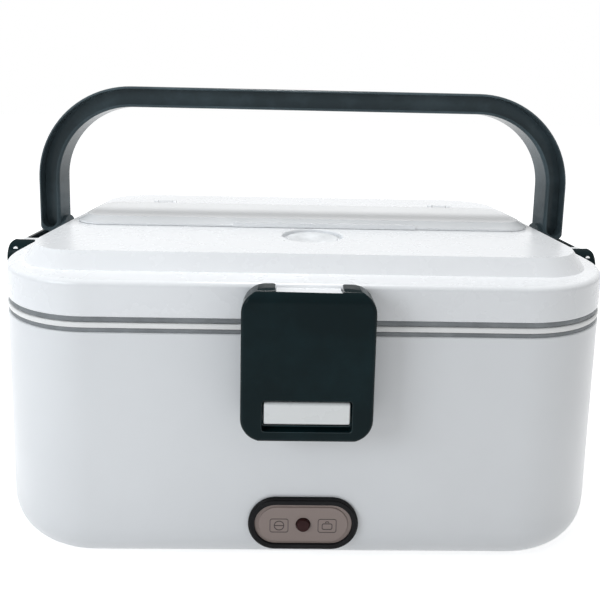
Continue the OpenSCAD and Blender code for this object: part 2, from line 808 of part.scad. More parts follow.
// Nose and neck that carry a latch, in the latch's own frame.
module latch_boss(wall, top, barrel_r, lip_end, x0, x1) {
    axis_y = -wall - latch_out + barrel_r;
    axis_z = top - barrel_r;
    nose = barrel_r - lip_t - 0.2;
    // where the flap's lip ends once it is fully open
    open_end = 177 - lip_end - latch_open;
    difference() {
        along_x(x0, x1) {
            translate([axis_y, axis_z]) circle(nose);
            polygon([
                [axis_y, axis_z], [axis_y - nose, axis_z], [axis_y - nose * 0.7, axis_z - nose],
                [-wall + 1, rim_z - 11], [-wall + 1, axis_z + min(nose - 0.1, (barrel_r + 0.4) * sin(open_end))],
                [axis_y + (barrel_r + 0.4) * cos(open_end), axis_z + min(nose - 0.1, (barrel_r + 0.4) * sin(open_end))],
                [axis_y + nose * 0.9 * cos(open_end), axis_z + nose * 0.9 * sin(open_end)]
            ]);
        }
        along_x(x0 - 1, x1 + 1) translate([axis_y, axis_z]) circle(latch_pin_r);
    }
}

// The two halves of a side latch's boss, one on each side of the handle.
module side_bosses() {
    outer_end = side_notch_w / 2 - gap;
    for (s = [-1, 1])
        latch_boss(body_w / 2, side_top, side_barrel_r, side_lip_end, s > 0 ? pocket_y : -outer_end, s > 0 ? outer_end : -pocket_y);
}

module pocket_block(x0, y_half, z0, z1) {
    for (s = [0, 1]) mirror([s, 0, 0])
        translate([x0, -y_half, z0]) cube([body_w / 2 - x0 + 5, 2 * y_half, z1 - z0]);
}

module lid_shell() {
    well_z = plateau_z - well_depth;
    dish_z = plateau_z - vent_depth;
    color([0.95, 0.96, 0.97]) {
        difference() {
            union() {
                lid_skin();
                // walls of the handle pockets, trimmed to the lid's outline
                intersection() {
                    pocket_block(pocket_x - lid_wall, pocket_y + lid_wall, lid_z + 0.6, rim_z - 1);
                    plate(body_w - 1, body_d - 1, corner_r - 0.5, lid_z, rim_z);
                }
                translate([0, clear_y, 0])
                    plate(well_w + 2 * lid_wall, well_d + 2 * lid_wall, 8 + lid_wall, well_z - lid_wall, plateau_z - 1);
                translate([vent_x, vent_y, dish_z - lid_wall]) cylinder(r = vent_r + lid_wall, h = vent_depth + lid_wall - 0.5);
                // posts for the inner panel's screws
                four(lid_boss_x, lid_boss_y) translate([0, 0, lid_z + panel_t + 0.5])
                    cylinder(r = 3.2, h = plateau_z - lid_z - panel_t - 1.5);
                // bosses of the handle's pins
                for (s = [0, 1]) mirror([s, 0, 0]) translate([pocket_x - pin_root, 0, pivot_z]) rotate([0, 90, 0])
                    cylinder(r = pivot_r + 1.8, h = pin_root - lid_wall);
            }
            pocket_block(pocket_x, pocket_y, pocket_low, plateau_z);
            pocket_block(pocket_x - lid_wall - 1, pocket_y, lid_z - 1, lid_z + 0.6);
            translate([0, clear_y, 0]) plate(well_w, well_d, 8, well_z, plateau_z + 1);
            translate([vent_x, vent_y, dish_z]) cylinder(r = vent_r, h = vent_depth + 1);
            translate([vent_x, vent_y, dish_z - lid_wall - 1]) cylinder(r = stem_r + gap, h = lid_wall + 2);
            four(lid_boss_x, lid_boss_y) translate([0, 0, lid_z]) cylinder(r = 1.2, h = lid_side_h - 3);
            for (s = [0, 1]) mirror([s, 0, 0]) translate([pocket_x - pin_root - 1, 0, pivot_z]) rotate([0, 90, 0])
                cylinder(r = pivot_r, h = pin_root + 2);
        }
        latch_boss(body_d / 2, front_top, front_barrel_r, front_lip_end, -front_notch_w / 2 + gap, front_notch_w / 2 - gap);
        for (a = [-90, 90]) rotate([0, 0, a]) side_bosses();
        for (s = [-1, 1]) along_x(s * hinge_x - knuckle_l / 2, s * hinge_x + knuckle_l / 2) knuckle_profile(1);
        // lugs of the clear cover's hinges
        for (s = [-1, 1], e = [-1, 1]) {
            mid = s * clear_hinge_x + e * (clear_knuckle_l / 2 + 0.3 + lug_l / 2);
            along_x(mid - lug_l / 2, mid + lug_l / 2) difference() {
                union() {
                    translate([clear_axis_y, clear_axis_z]) circle(clear_knuckle_r);
                    translate([clear_axis_y - clear_knuckle_r, plateau_z - 0.5])
                        square([2 * clear_knuckle_r, clear_axis_z - plateau_z + 0.5]);
                }
                translate([clear_axis_y, clear_axis_z]) circle(clear_pin_r);
            }
        }
    }
}

module lid_inner_panel() {
    top = lid_z + panel_t + 0.5;
    skirt_cr = well_cr - tray_t - 2.5;
    color([0.93, 0.93, 0.93]) difference() {
        filled(body_w, body_d, corner_r, top - panel_t, top) {
            translate([0, top - panel_t]) square([panel_cr, panel_t]);
            translate([skirt_cr - 2, top - panel_t - skirt_h]) square([2, skirt_h + 0.5]);
        }
        pocket_block(pocket_x - lid_wall - gap, pocket_y + lid_wall + gap, lid_z - 1, rim_z);
        four(lid_boss_x, lid_boss_y) translate([0, 0, lid_z - 1]) cylinder(r = 1.5, h = 6);
        translate([vent_x, vent_y, lid_z - 1]) cylinder(r = 4, h = 6);
    }
}

module lid_seal() {
    low = flange_top + gap;
    high = lid_z + 0.45;
    color([0.5, 0.52, 0.54]) around(body_w, body_d, corner_r) {
        translate([recess_cr + 1.5, high - 0.8]) square([6.6, 0.8]);
        translate([recess_cr + 3.8, low + 0.8]) square([2, high - low - 0.8]);
        translate([recess_cr + 4.8, low + 1]) circle(1);
    }
}

module lid_screws() {
    color([0.7, 0.7, 0.72]) four(lid_boss_x, lid_boss_y) translate([0, 0, lid_z + 0.5])
        screw(2.4, 1.1, 1.2, panel_t + 5);
}

module latch_pin_at(wall, top, barrel_r, x0, x1) {
    translate([x0, -wall - latch_out + barrel_r, top - barrel_r]) rotate([0, 90, 0])
        cylinder(r = latch_pin_r, h = x1 - x0);
}

module front_latch_pin() {
    half = front_latch_w / 2 - latch_side;
    color([0.7, 0.7, 0.72]) latch_pin_at(body_d / 2, front_top, front_barrel_r, -half, half);
}

module side_latch_pins() {
    outer_end = side_latch_w / 2 - 1.2;
    for (s = [-1, 1])
        latch_pin_at(body_w / 2, side_top, side_barrel_r, s > 0 ? pocket_y : -outer_end, s > 0 ? outer_end : -pocket_y);
}

module left_latch_pins() { color([0.7, 0.7, 0.72]) rotate([0, 0, -90]) side_latch_pins(); }

module right_latch_pins() { color([0.7, 0.7, 0.72]) rotate([0, 0, 90]) side_latch_pins(); }

module handle_pins() {
    color([0.7, 0.7, 0.72]) for (s = [-1, 1])
        translate([s * (pocket_x - pin_root), 0, pivot_z]) rotate([0, s * 90, 0]) {
            cylinder(r = pivot_r, h = pin_root + gap + hub_t + tongue_t);
            translate([0, 0, pin_root + gap + hub_t + tongue_t - 1.5]) cylinder(r = head_r, h = head_t);
        }
}

module cover_hinge_pins() {
    half = clear_knuckle_l / 2 + 0.3 + lug_l;
    color([0.7, 0.7, 0.72]) for (s = [-1, 1])
        translate([s * clear_hinge_x - half, clear_axis_y, clear_axis_z]) rotate([0, 90, 0])
            cylinder(r = clear_pin_r, h = 2 * half);
}

// ------------------------------------------------------------ moving parts

module cutlery_cover() {
    top_cr = clear_r - clear_slope;
    color([0.9, 0.94, 0.96, 0.45]) difference() {
        union() {
            translate([0, clear_y, 0]) filled(clear_w, clear_d, clear_r, clear_top - clear_t, clear_top)
                polygon([
                    [0, clear_top - clear_t], [top_cr - 0.6, clear_top - clear_t],
                    [clear_r - clear_t - 0.4, clear_z], [clear_r, clear_z],
                    [clear_r, clear_z + 0.8], [top_cr, clear_top], [0, clear_top]
                ]);
            // lift tab
            along_y(clear_y - clear_d / 2 - 0.6, clear_y - clear_d / 2 + 1.2)
                translate([tab_x, clear_z + 1]) round_rect(tab_w, 2, 0.9);
            for (s = [-1, 1]) along_x(s * clear_hinge_x - clear_knuckle_l / 2, s * clear_hinge_x + clear_knuckle_l / 2) {
                translate([clear_axis_y, clear_axis_z]) circle(clear_knuckle_r);
                translate([clear_back - 1, clear_z]) square([clear_axis_y - clear_back + 1, 1.2]);
            }
        }
        for (s = [-1, 1]) along_x(s * clear_hinge_x - clear_knuckle_l, s * clear_hinge_x + clear_knuckle_l)
            translate([clear_axis_y, clear_axis_z]) circle(clear_pin_r + run);
    }
}

module vent_plug() {
    floor_v = plateau_z - vent_depth;
    color([0.83, 0.85, 0.87]) translate([vent_x, vent_y, 0]) rotate_extrude() difference() {
        union() {
            translate([0, floor_v]) square([vent_r - 2, 1.4]);
            translate([0, floor_v - lid_wall - 1.5]) square([stem_r, lid_wall + 2]);
        }
        translate([0, floor_v + 1.4 + 40 - 0.9]) circle(40);
    }
}

// The handle's section: x is its thickness, y its depth.
module handle_section(channel) {
    difference() {
        round_rect(handle_t, handle_d, handle_edge);
        if (channel) for (s = [-1, 1])
            translate([0, s * (handle_d + 1 - channel_depth) / 2])
                square([channel_w, channel_depth + 1], center = true);
    }
}

// What is cut off a foot: all but a narrow tongue below its round outer end.
module foot_cut() {
    along_y(-handle_d, handle_d) difference() {
        translate([leg_in + tongue_t, pocket_low]) square([handle_t, foot_end + foot_corner - pocket_low]);
        translate([leg_in, foot_end]) square([handle_t - foot_corner, handle_t]);
        translate([leg_out - foot_corner, foot_end + foot_corner]) circle(foot_corner);
    }
}

module carry_handle() {
    mid = leg_out - handle_t / 2;
    bend = handle_corner - handle_t / 2;
    bend_z = handle_top - handle_corner;
    plain_z = foot_end + 1.6 + channel_w / 2;
    color([0.13, 0.16, 0.17]) difference() {
        union() {
            for (s = [0, 1]) mirror([s, 0, 0]) {
                translate([mid, 0, plain_z]) linear_extrude(bend_z - plain_z) handle_section(true);
                translate([mid - bend, 0, bend_z]) rotate([90, 0, 0])
                    rotate_extrude(angle = 90) translate([bend, 0]) handle_section(true);
                difference() {
                    union() {
                        translate([mid, 0, pivot_z]) linear_extrude(plain_z - pivot_z) handle_section(false);
                        translate([mid, 0, pivot_z]) rotate([0, 90, 0]) rotate([0, 0, -90]) rotate_extrude(angle = 180)
                            intersection() {
                                rotate([0, 0, 90]) handle_section(false);
                                translate([0, -handle_t]) square([handle_d, 2 * handle_t]);
                            }
                    }
                    foot_cut();
                }
                translate([leg_in - hub_t, 0, pivot_z]) rotate([0, 90, 0]) cylinder(r = hub_r, h = hub_t + 1);
            }
            translate([bend - mid, 0, handle_top - handle_t / 2]) rotate([0, 90, 0])
                linear_extrude(2 * (mid - bend)) handle_section(true);
        }
        // round lower ends of the channels
        for (s = [0, 1], t = [0, 1]) mirror([s, 0, 0]) mirror([0, t, 0])
            along_y(handle_d / 2 - channel_depth, handle_d / 2 + 1) intersection() {
                translate([mid, plain_z]) circle(channel_w / 2);
                translate([mid - handle_t, plain_z - handle_t]) square([2 * handle_t, handle_t]);
            }
        for (s = [0, 1]) mirror([s, 0, 0]) translate([leg_in - hub_t - 1, 0, pivot_z]) rotate([0, 90, 0]) {
            cylinder(r = pivot_r + run, h = handle_t + 4);
            translate([0, 0, hub_t + 1 + tongue_t - 1.6]) cylinder(r = head_r + gap, h = head_t + 8);
        }
    }
}

// A latch flap in its own frame: the wall it stands against faces -Y.
module latch_flap(wall, top, w, h, notch_w, barrel_r, lip_end, ear_in) {
    face = -wall - latch_out;
    back = -wall - latch_back;
    axis_y = face + barrel_r;
    axis_z = top - barrel_r;
    low = top - h;
    edge = 1.4;
    heel = 1.8;
    far = 3 * barrel_r;
    difference() {
        intersection() {
            // front outline with a round edge to its face
            translate([0, back, (low + top) / 2]) rotate([90, 0, 0])
                filled(w, h, latch_corner, 0, back - face) high_round(latch_corner, 0, back - face, edge);
            // side view: barrel at the top, round lip at the bottom
            along_x(-w / 2 - 1, w / 2 + 1) {
                translate([axis_y, axis_z]) circle(barrel_r);
                translate([face, low + heel]) square([axis_y - face, axis_z - low - heel]);
                translate([face + heel, low]) square([back - face - heel, 5]);
                translate([face + heel, low + heel]) circle(heel);
                polygon([
                    [axis_y - 1, low + 4], [axis_y - 1, axis_z], [axis_y, top], [axis_y + ear_in, top],
                    [axis_y + ear_in, axis_z], [back, axis_z - 4], [back, low + 4]
                ]);
            }
        }
        // hollow back
        along_y(face + latch_face, back + 1)
            translate([0, (low + latch_side + axis_z - barrel_r - 0.6) / 2])
                round_rect(w - 2 * latch_side, axis_z - barrel_r - 0.6 - low - latch_side, latch_corner - latch_side);
        // notch round the lid's boss, leaving the curved lip
        along_x(-notch_w / 2, notch_w / 2) translate([axis_y, axis_z]) {
            circle(barrel_r - lip_t);
            polygon([
                [0, 0], [-far * cos(lip_end), far * sin(lip_end)], [far + 4, far],
                [far + 4, -barrel_r - 2], [lip_t - barrel_r, -barrel_r - 2], [lip_t - barrel_r, 0]
            ]);
        }
        along_x(-w / 2 + latch_side - 1, w / 2 - latch_side + 1) translate([axis_y, axis_z]) circle(latch_pin_r + run);
    }
    // hook that catches under the keeper
    hook_z = base_z + keeper_z - 0.8;
    along_x(-front_latch_w / 2 + latch_side + 4, front_latch_w / 2 - latch_side - 4)
        polygon([
            [face + latch_face - 0.5, hook_z], [face + latch_face - 0.5, hook_z - 6],
            [-wall - keeper_out - gap - 1.5, hook_z - 2], [-wall - keeper_out - gap, hook_z - 1.2],
            [-wall - keeper_out - gap, hook_z]
        ]);
}

bar_low = front_top - front_latch_h + bar_z;
bar_face = -body_d / 2 - latch_out;
pocket_depth = 3.8;
bar_pocket_z = bar_low - finger_h;
bar_pocket_h = bar_h + finger_h + 1;
bar_pocket_w = bar_w + 1.6;
stem_w = 20;
stem_h = 3.2;

module front_latch() {
    color([0.12, 0.16, 0.17]) difference() {
        union() {
            latch_flap(body_d / 2, front_top, front_latch_w, front_latch_h, front_notch_w, front_barrel_r,
                front_lip_end, front_barrel_r);
            along_y(bar_face + latch_face - 0.5, bar_face + pocket_depth + 1.6)
                translate([0, bar_pocket_z + bar_pocket_h / 2])
                    round_rect(bar_pocket_w + 3.2, bar_pocket_h + 3.2, 1.6);
        }
        along_y(bar_face - 1, bar_face + pocket_depth)
            translate([0, bar_pocket_z + bar_pocket_h / 2]) round_rect(bar_pocket_w, bar_pocket_h, 1.2);
        translate([-stem_w / 2 - gap, bar_face, bar_low + bar_h / 2 - stem_h / 2 - gap])
            cube([stem_w + 2 * gap, latch_out, stem_h + 2 * gap]);
    }
}

module press_bar() {
    mid_z = bar_low + bar_h / 2;
    color([0.93, 0.93, 0.92]) {
        along_x(-bar_w / 2, bar_w / 2) polygon([
            [bar_face + 0.2, bar_low + 0.8], [bar_face + 0.8, bar_low], [bar_face + pocket_depth - bar_travel - gap, bar_low],
            [bar_face + pocket_depth - bar_travel - gap, bar_low + bar_h], [bar_face + 0.9, bar_low + bar_h], [bar_face + 0.3, bar_low + bar_h - 0.6]
        ]);
        translate([-stem_w / 2, bar_face + 1.5, mid_z - stem_h / 2]) cube([stem_w, 5.2, stem_h]);
        translate([-stem_w / 2 - 1, bar_face + pocket_depth + 1.6 + 0.1, mid_z - stem_h / 2])
            cube([stem_w + 2, 1.2, stem_h]);
    }
}

module side_latch() {
    // the ears reach towards the wall as far as they can turn past it
    reach = latch_out - side_barrel_r - gap;
    inside = side_latch_w - 2 * latch_side;
    difference() {
        latch_flap(body_w / 2, side_top, side_latch_w, side_latch_h, side_notch_w, side_barrel_r, side_lip_end,
            sqrt(reach * reach - side_barrel_r * side_barrel_r));
        // way past the keeper while the lid opens
        translate([-inside / 2, -body_w / 2 - keeper_out - gap, side_top - side_latch_h - 1])
            cube([inside, keeper_out + gap, 11]);
    }
}

module left_latch() { color([0.12, 0.16, 0.17]) rotate([0, 0, -90]) side_latch(); }

module right_latch() { color([0.12, 0.16, 0.17]) rotate([0, 0, 90]) side_latch(); }

// ------------------------------------------------------------------ output

outer_shell();
bottom_cover();
rubber_feet();
base_screws();
inner_liner();
steel_tray();
heating_plate();
heater_block();
heater_clamp();
clamp_screws();
thermostat();
thermal_fuse();
heat_shield();
shield_screws();
insulation_pad();
circuit_board();
terminal_block();
board_screws();
lead_wires();
lamp_bezel();
lamp_fascia();
indicator_lamp();
lamp_holder();
power_inlet();
inlet_contacts();
rear_hinge_pins();
lid_shell();
lid_inner_panel();
lid_seal();
lid_screws();
front_latch_pin();
left_latch_pins();
right_latch_pins();
handle_pins();
cover_hinge_pins();
cutlery_cover();
vent_plug();
carry_handle();
front_latch();
press_bar();
left_latch();
right_latch();
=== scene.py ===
"""Electric lunch box: finishes, softened edges and small details around its CAD parts."""

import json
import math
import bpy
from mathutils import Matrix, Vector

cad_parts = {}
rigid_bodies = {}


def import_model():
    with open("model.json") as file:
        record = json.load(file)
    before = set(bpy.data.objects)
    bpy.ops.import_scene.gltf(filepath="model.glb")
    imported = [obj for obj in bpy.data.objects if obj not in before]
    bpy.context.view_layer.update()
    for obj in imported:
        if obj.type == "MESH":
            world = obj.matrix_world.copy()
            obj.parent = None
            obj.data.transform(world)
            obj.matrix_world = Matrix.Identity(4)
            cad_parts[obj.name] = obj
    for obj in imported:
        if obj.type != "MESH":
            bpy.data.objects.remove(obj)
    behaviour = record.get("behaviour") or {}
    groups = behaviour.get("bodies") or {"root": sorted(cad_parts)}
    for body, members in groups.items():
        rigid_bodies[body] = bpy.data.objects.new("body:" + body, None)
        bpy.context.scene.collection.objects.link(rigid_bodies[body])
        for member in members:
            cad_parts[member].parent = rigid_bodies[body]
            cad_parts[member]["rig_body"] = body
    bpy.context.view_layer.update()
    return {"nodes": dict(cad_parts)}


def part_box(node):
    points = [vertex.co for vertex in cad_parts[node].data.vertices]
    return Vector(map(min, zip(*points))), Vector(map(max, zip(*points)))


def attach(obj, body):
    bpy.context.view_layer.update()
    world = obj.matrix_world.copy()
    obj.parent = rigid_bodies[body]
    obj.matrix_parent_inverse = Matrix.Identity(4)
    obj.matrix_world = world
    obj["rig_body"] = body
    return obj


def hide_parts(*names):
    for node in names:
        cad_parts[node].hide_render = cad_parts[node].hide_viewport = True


bl_info = {
    "name": "Electric Lunch Box",
    "version": (1, 0, 0),
    "blender": (4, 5, 0),
    "location": "View3D > Sidebar > Lunch Box",
    "description": "Builds the finished look of a heated lunch box with a carry handle and latches",
    "category": "Object",
}

import bmesh
import bpy
from bpy.props import FloatProperty, FloatVectorProperty, PointerProperty
from mathutils import Matrix, Vector

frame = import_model()

# Rounding: lengths in metres, and turns between two faces
MERGE = 2e-6                      # points nearer than this are one point
SLIVER = 1e-6                     # edges shorter than this are taken out
FLAT = 1.5e-6                     # how far a point may stand off its flat face
FLAT_ANGLE = math.radians(0.5)    # faces that turn less than this are one flat face
HARD_ANGLE = math.radians(28.0)   # edges that turn more than this are rounded
CURVED = 0.05                     # turn in radians that tells a curved surface from a flat one
ROUND_SHARE = 0.42                # share of a face's width that one rounding may take

# Roundings of parts that have no setting
TINY_EDGE = 0.0002
FINE_EDGE = 0.0003
SMALL_EDGE = 0.0004
PLAIN_EDGE = 0.0005
COVER_EDGE = 0.0006

# Turns, in degrees, beyond which the shading of made pieces stays crisp
GROWN_CREASE = 35.0
BAND_CREASE = 50.0

SPIN_SEED = 7                     # how far each screw is turned

# Colours of parts that have no setting
RUBBER = (0.03, 0.03, 0.032)
SEAL = (0.20, 0.215, 0.23)
# the vent plug's grey-white is the silicone's tone, kept darker than the lid to carry the shade in the
# vent's dish: partly painted shade
VENT = (0.82, 0.84, 0.855)
CLEAR = (0.95, 0.965, 0.975)
RING = (0.012, 0.012, 0.013)
INLET = (0.022, 0.022, 0.024)
HEAT_PROOF = (0.02, 0.02, 0.022)
TERMINAL = (0.05, 0.19, 0.085)
WIRE = (0.42, 0.035, 0.03)
BOARD = (0.03, 0.12, 0.055)
GLASS_FIBRE = (0.82, 0.82, 0.77)
HEATER_JACKET = (0.72, 0.67, 0.55)
FUSE = (0.66, 0.5, 0.3)
BRASS = (0.80, 0.62, 0.28)
PIN_STEEL = (0.66, 0.67, 0.68)
TRAY_STEEL = (0.74, 0.75, 0.76)
CLAMP_STEEL = (0.6, 0.61, 0.63)
ZINC = (0.62, 0.63, 0.64)
PLATE_ALUMINIUM = (0.72, 0.73, 0.74)
SHIELD_ALUMINIUM = (0.75, 0.76, 0.77)

# Stage
FLOOR = (0.86, 0.86, 0.86)
FLOOR_GLOW = 0.70                 # what lifts the floor's white to plain white where it is seen
EVEN_LIGHT = (0.96, 0.98, 1.0)
NEUTRAL = (1.0, 1.0, 1.0)
COOL = (0.90, 0.95, 1.0)
WARM = (1.0, 0.94, 0.86)
SENSOR_WIDTH = 36.0               # of the camera, in millimetres


# ---------------------------------------------------------------- settings

def colour(name, about, value):
    return FloatVectorProperty(name=name, description=about, subtype="COLOR",
                               size=3, min=0.0, max=1.0, default=value)


def length(name, about, value):
    return FloatProperty(name=name, description=about, unit="LENGTH",
                         min=0.0, max=1.0, default=value, precision=5)


def number(name, about, value, low, high):
    return FloatProperty(name=name, description=about, min=low, max=high, default=value)


class ShellSettings(bpy.types.PropertyGroup):
    """The white mouldings."""
    body: colour("Body", "Colour of the moulded body shell", (0.80, 0.815, 0.83))
    lid: colour("Lid", "Colour of the lid and its rim", (0.90, 0.915, 0.93))
    lining: colour("Lining", "Colour of the white inner mouldings", (0.90, 0.90, 0.89))
    underside: colour("Underside", "Colour of the bottom cover", (0.70, 0.71, 0.72))
    edge: length("Edge", "Rounding of the shell's edges", 0.0006)


class SeamSettings(bpy.types.PropertyGroup):
    """The two grey bands round the body: painted shade in the body's groove, and under the lid the seal's
    own grey laid evenly over the gap's shade.
    """
    # This grey is painted shade; in the band under the lid it is also the seal's own grey.
    tone: colour("Tone", "Colour of the two bands", (0.21, 0.225, 0.235))
    width: length("Body width", "Width of the body where the bands run", 0.240)
    depth: length("Body depth", "Depth of the body where the bands run", 0.170)
    corner: length("Corner", "Corner radius of the body", 0.042)
    outer: length("Outer inset", "How far the bands stand back from the body's side", 0.0004)
    inner: length("Inner inset", "How far in the bands reach", 0.0020)
    body_low: length("Body band low", "Lower edge of the band in the body", 0.09288)
    body_high: length("Body band high", "Upper edge of the band in the body", 0.09452)
    lid_low: length("Lid band low", "Lower edge of the band under the lid", 0.09656)
    lid_high: length("Lid band high", "Upper edge of the band under the lid", 0.0987)


class TrimSettings(bpy.types.PropertyGroup):
    """The dark parts and the press bar."""
    dark: colour("Dark trim", "Colour of the latches", (0.004, 0.0135, 0.016))
    grip: colour("Handle", "Colour of the carry handle", (0.058, 0.082, 0.093))
    button: colour("Press bar", "Colour of the latch's press bar", (0.80, 0.815, 0.81))
    handle_edge: length("Handle edge", "Rounding of the handle's edges", 0.0011)
    latch_edge: length("Latch edge", "Rounding of the latches' edges", 0.0010)


class PanelSettings(bpy.types.PropertyGroup):
    """The panel round the lamp."""
    fascia: colour("Fascia", "Colour of the panel round the lamp", (0.26, 0.205, 0.185))
    mark: colour("Marks", "Colour of the printed signs", (0.045, 0.032, 0.030))
    lamp: colour("Lamp", "Colour of the unlit lamp", (0.030, 0.012, 0.012))
    line: length("Line", "Width of the printed lines", 0.00032)


class StageSettings(bpy.types.PropertyGroup):
    """Light and camera."""
    sky: number("Sky", "Strength of the even light", 0.37, 0.0, 2.0)
    top: number("Top lamp", "Power of the lamp overhead", 6.4, 0.0, 200.0)
    left: number("Left lamp", "Power of the lamp at front left", 1.2, 0.0, 200.0)
    right: number("Right lamp", "Power of the lamp at front right", 0.3, 0.0, 200.0)
    lens: number("Lens", "Focal length in millimetres", 35.229, 10.0, 200.0)
    shift: number("Shift", "Camera shift", -0.20, -1.0, 1.0)
    place: FloatVectorProperty(name="Camera place", description="Where the camera stands", size=3,
                               subtype="TRANSLATION", unit="LENGTH",
                               default=(-0.007761, -0.283415, 0.173713))
    turn: FloatVectorProperty(name="Camera turn", description="Pitch, roll and yaw in degrees", size=3,
                              default=(-7.318, -1.244, -1.133))


# ---------------------------------------------------------------- materials

class ShaderTree:
    """The nodes of a material or of the world, made by short calls."""

    def __init__(self, tree):
        self.nodes = tree.nodes
        self.links = tree.links

    def node(self, kind, **values):
        made = self.nodes.new(kind)
        for key, value in values.items():
            setattr(made, key, value)
        return made

    def seen(self):
        """1 for rays that show the background: from the camera, reflected, or through something clear."""
        path = self.node("ShaderNodeLightPath")
        total = path.outputs["Is Camera Ray"]
        for other in ("Is Glossy Ray", "Is Transmission Ray"):
            m = self.node("ShaderNodeMath", operation="MAXIMUM")
            self.links.new(total, m.inputs[0])
            self.links.new(path.outputs[other], m.inputs[1])
            total = m.outputs[0]
        return total


class Finish(ShaderTree):
    """A material being put together: its nodes, then one Principled shader."""

    def __init__(self, name):
        self.mat = bpy.data.materials.new(name)
        self.mat.use_nodes = True
        super().__init__(self.mat.node_tree)
        self.shader = self.nodes["Principled BSDF"]
        self.coords = self.node("ShaderNodeTexCoord").outputs["Object"]

    def stretched(self, x, y, z):
        """Object coordinates scaled on each axis, so that a pattern runs long on the axis with the least."""
        m = self.node("ShaderNodeMapping")
        m.inputs["Scale"].default_value = (x, y, z)
        self.links.new(self.coords, m.inputs["Vector"])
        return m.outputs["Vector"]

    def noise(self, scale, detail=2.0, rough=0.5, coords=None):
        n = self.node("ShaderNodeTexNoise")
        n.inputs["Scale"].default_value = scale
        n.inputs["Detail"].default_value = detail
        n.inputs["Roughness"].default_value = rough
        self.links.new(coords or self.coords, n.inputs["Vector"])
        return n.outputs["Fac"]

    def spread(self, source, low=0.0, high=1.0, start=0.35, end=0.65):
        """A pattern's middle values, from start to end, spread between low and high."""
        m = self.node("ShaderNodeMapRange")
        for key, value in (("From Min", start), ("From Max", end), ("To Min", low), ("To Max", high)):
            m.inputs[key].default_value = value
        self.links.new(source, m.inputs["Value"])
        return m.outputs["Result"]

    def times(self, a, b):
        m = self.node("ShaderNodeMath", operation="MULTIPLY")
        self.links.new(a, m.inputs[0])
        self.links.new(b, m.inputs[1])
        return m.outputs[0]

    def mixed(self, factor, first, second):
        m = self.node("ShaderNodeMix", data_type="RGBA")
        self.links.new(factor, m.inputs["Factor"])
        m.inputs["A"].default_value = (*first, 1.0)
        m.inputs["B"].default_value = (*second, 1.0)
        return m.outputs["Result"]

    def bump(self, height, strength, distance):
        """Relief on top of any relief that the material already has."""
        b = self.node("ShaderNodeBump")
        b.inputs["Strength"].default_value = strength
        b.inputs["Distance"].default_value = distance
        self.links.new(height, b.inputs["Height"])
        old = self.shader.inputs["Normal"]
        if old.is_linked:
            self.links.new(old.links[0].from_socket, b.inputs["Normal"])
        self.links.new(b.outputs["Normal"], old)

    def feed(self, **sockets):
        """Sets the shader's sockets: to a pattern, a colour or a number."""
        for key, value in sockets.items():
            target = self.shader.inputs[key.replace("_", " ")]
            if hasattr(value, "node"):
                self.links.new(value, target)
            elif isinstance(value, tuple):
                target.default_value = (*value, 1.0)
            else:
                target.default_value = value

    def tones(self, pattern, first, second):
        """The base colour, between two colours by a pattern."""
        self.feed(Base_Color=self.mixed(pattern, first, second))


def shade(tone, factor):
    """A darker or lighter tone of a colour."""
    return tuple(min(1.0, v * factor) for v in tone)


def moulded(name, base, rough=0.32, grain=0.18):
    """Injection-moulded plastic: faint colour drift, uneven sheen and a fine grain."""
    f = Finish(name)
    f.tones(f.spread(f.noise(22.0, 3.0, 0.55)), shade(base, 0.98), shade(base, 1.008))
    f.feed(Roughness=f.spread(f.noise(60.0, 4.0, 0.6), rough * 0.92, rough * 1.1), IOR=1.49)
    f.bump(f.noise(2600.0, 2.0, 0.6), grain, 0.00004)
    f.bump(f.noise(30.0, 1.0, 0.4), 0.10, 0.0004)
    return f.mat


def dark_gloss(name, base, sheen=0.07, rough=0.13):
    """Glossy dark moulding with hairline rub marks and a little dust in the sheen."""
    f = Finish(name)
    hair = f.noise(220.0, 3.0, 0.7, f.stretched(6.0, 1.0, 0.35))
    wear = f.noise(38.0, 4.0, 0.62)
    f.tones(f.spread(wear, start=0.45, end=0.75), shade(base, 0.9), shade(base, 1.5))
    f.feed(Roughness=f.spread(hair, rough, rough * 1.8, 0.3, 0.75), IOR=1.5, Specular_IOR_Level=sheen)
    f.bump(f.noise(30.0, 1.0, 0.4), 0.12, 0.0005)
    f.bump(f.noise(1500.0, 2.0, 0.5), 0.12, 0.00003)
    return f.mat


def brushed(name, base, rough=0.27, along="x", line=900.0):
    """Metal with a directional brush: long thin lines in colour, sheen and relief."""
    f = Finish(name)
    scale = {"x": (0.02, 1.0, 1.0), "y": (1.0, 0.02, 1.0)}[along]
    lines = f.noise(line, 3.0, 0.7, f.stretched(*scale))
    soft = f.noise(25.0, 2.0, 0.5)
    f.tones(f.spread(lines, start=0.3, end=0.7), shade(base, 0.86), shade(base, 1.06))
    f.feed(Roughness=f.spread(f.times(lines, soft), rough * 0.75, rough * 1.35, 0.12, 0.4), Metallic=1.0)
    f.bump(lines, 0.18, 0.00005)
    return f.mat


def rubbery(name, base, rough=0.62):
    """Matt rubber or silicone with cloudy tone and a fine skin."""
    f = Finish(name)
    f.tones(f.spread(f.noise(90.0, 4.0, 0.6)), shade(base, 0.85), shade(base, 1.15))
    f.feed(Roughness=f.spread(f.noise(300.0, 2.0, 0.5), rough * 0.9, rough * 1.15), IOR=1.45)
    f.bump(f.noise(1300.0, 3.0, 0.6), 0.35, 0.00006)
    return f.mat


def clear_moulding(name, base):
    """Clear plastic, faintly milky, with mould swirl in its sheen."""
    f = Finish(name)
    f.feed(Base_Color=base, Roughness=f.spread(f.noise(45.0, 3.0, 0.6), 0.05, 0.13), IOR=1.49,
           Alpha=f.spread(f.noise(18.0, 2.0, 0.5), 0.80, 0.86))
    f.bump(f.noise(26.0, 1.5, 0.5), 0.15, 0.0004)
    return f.mat


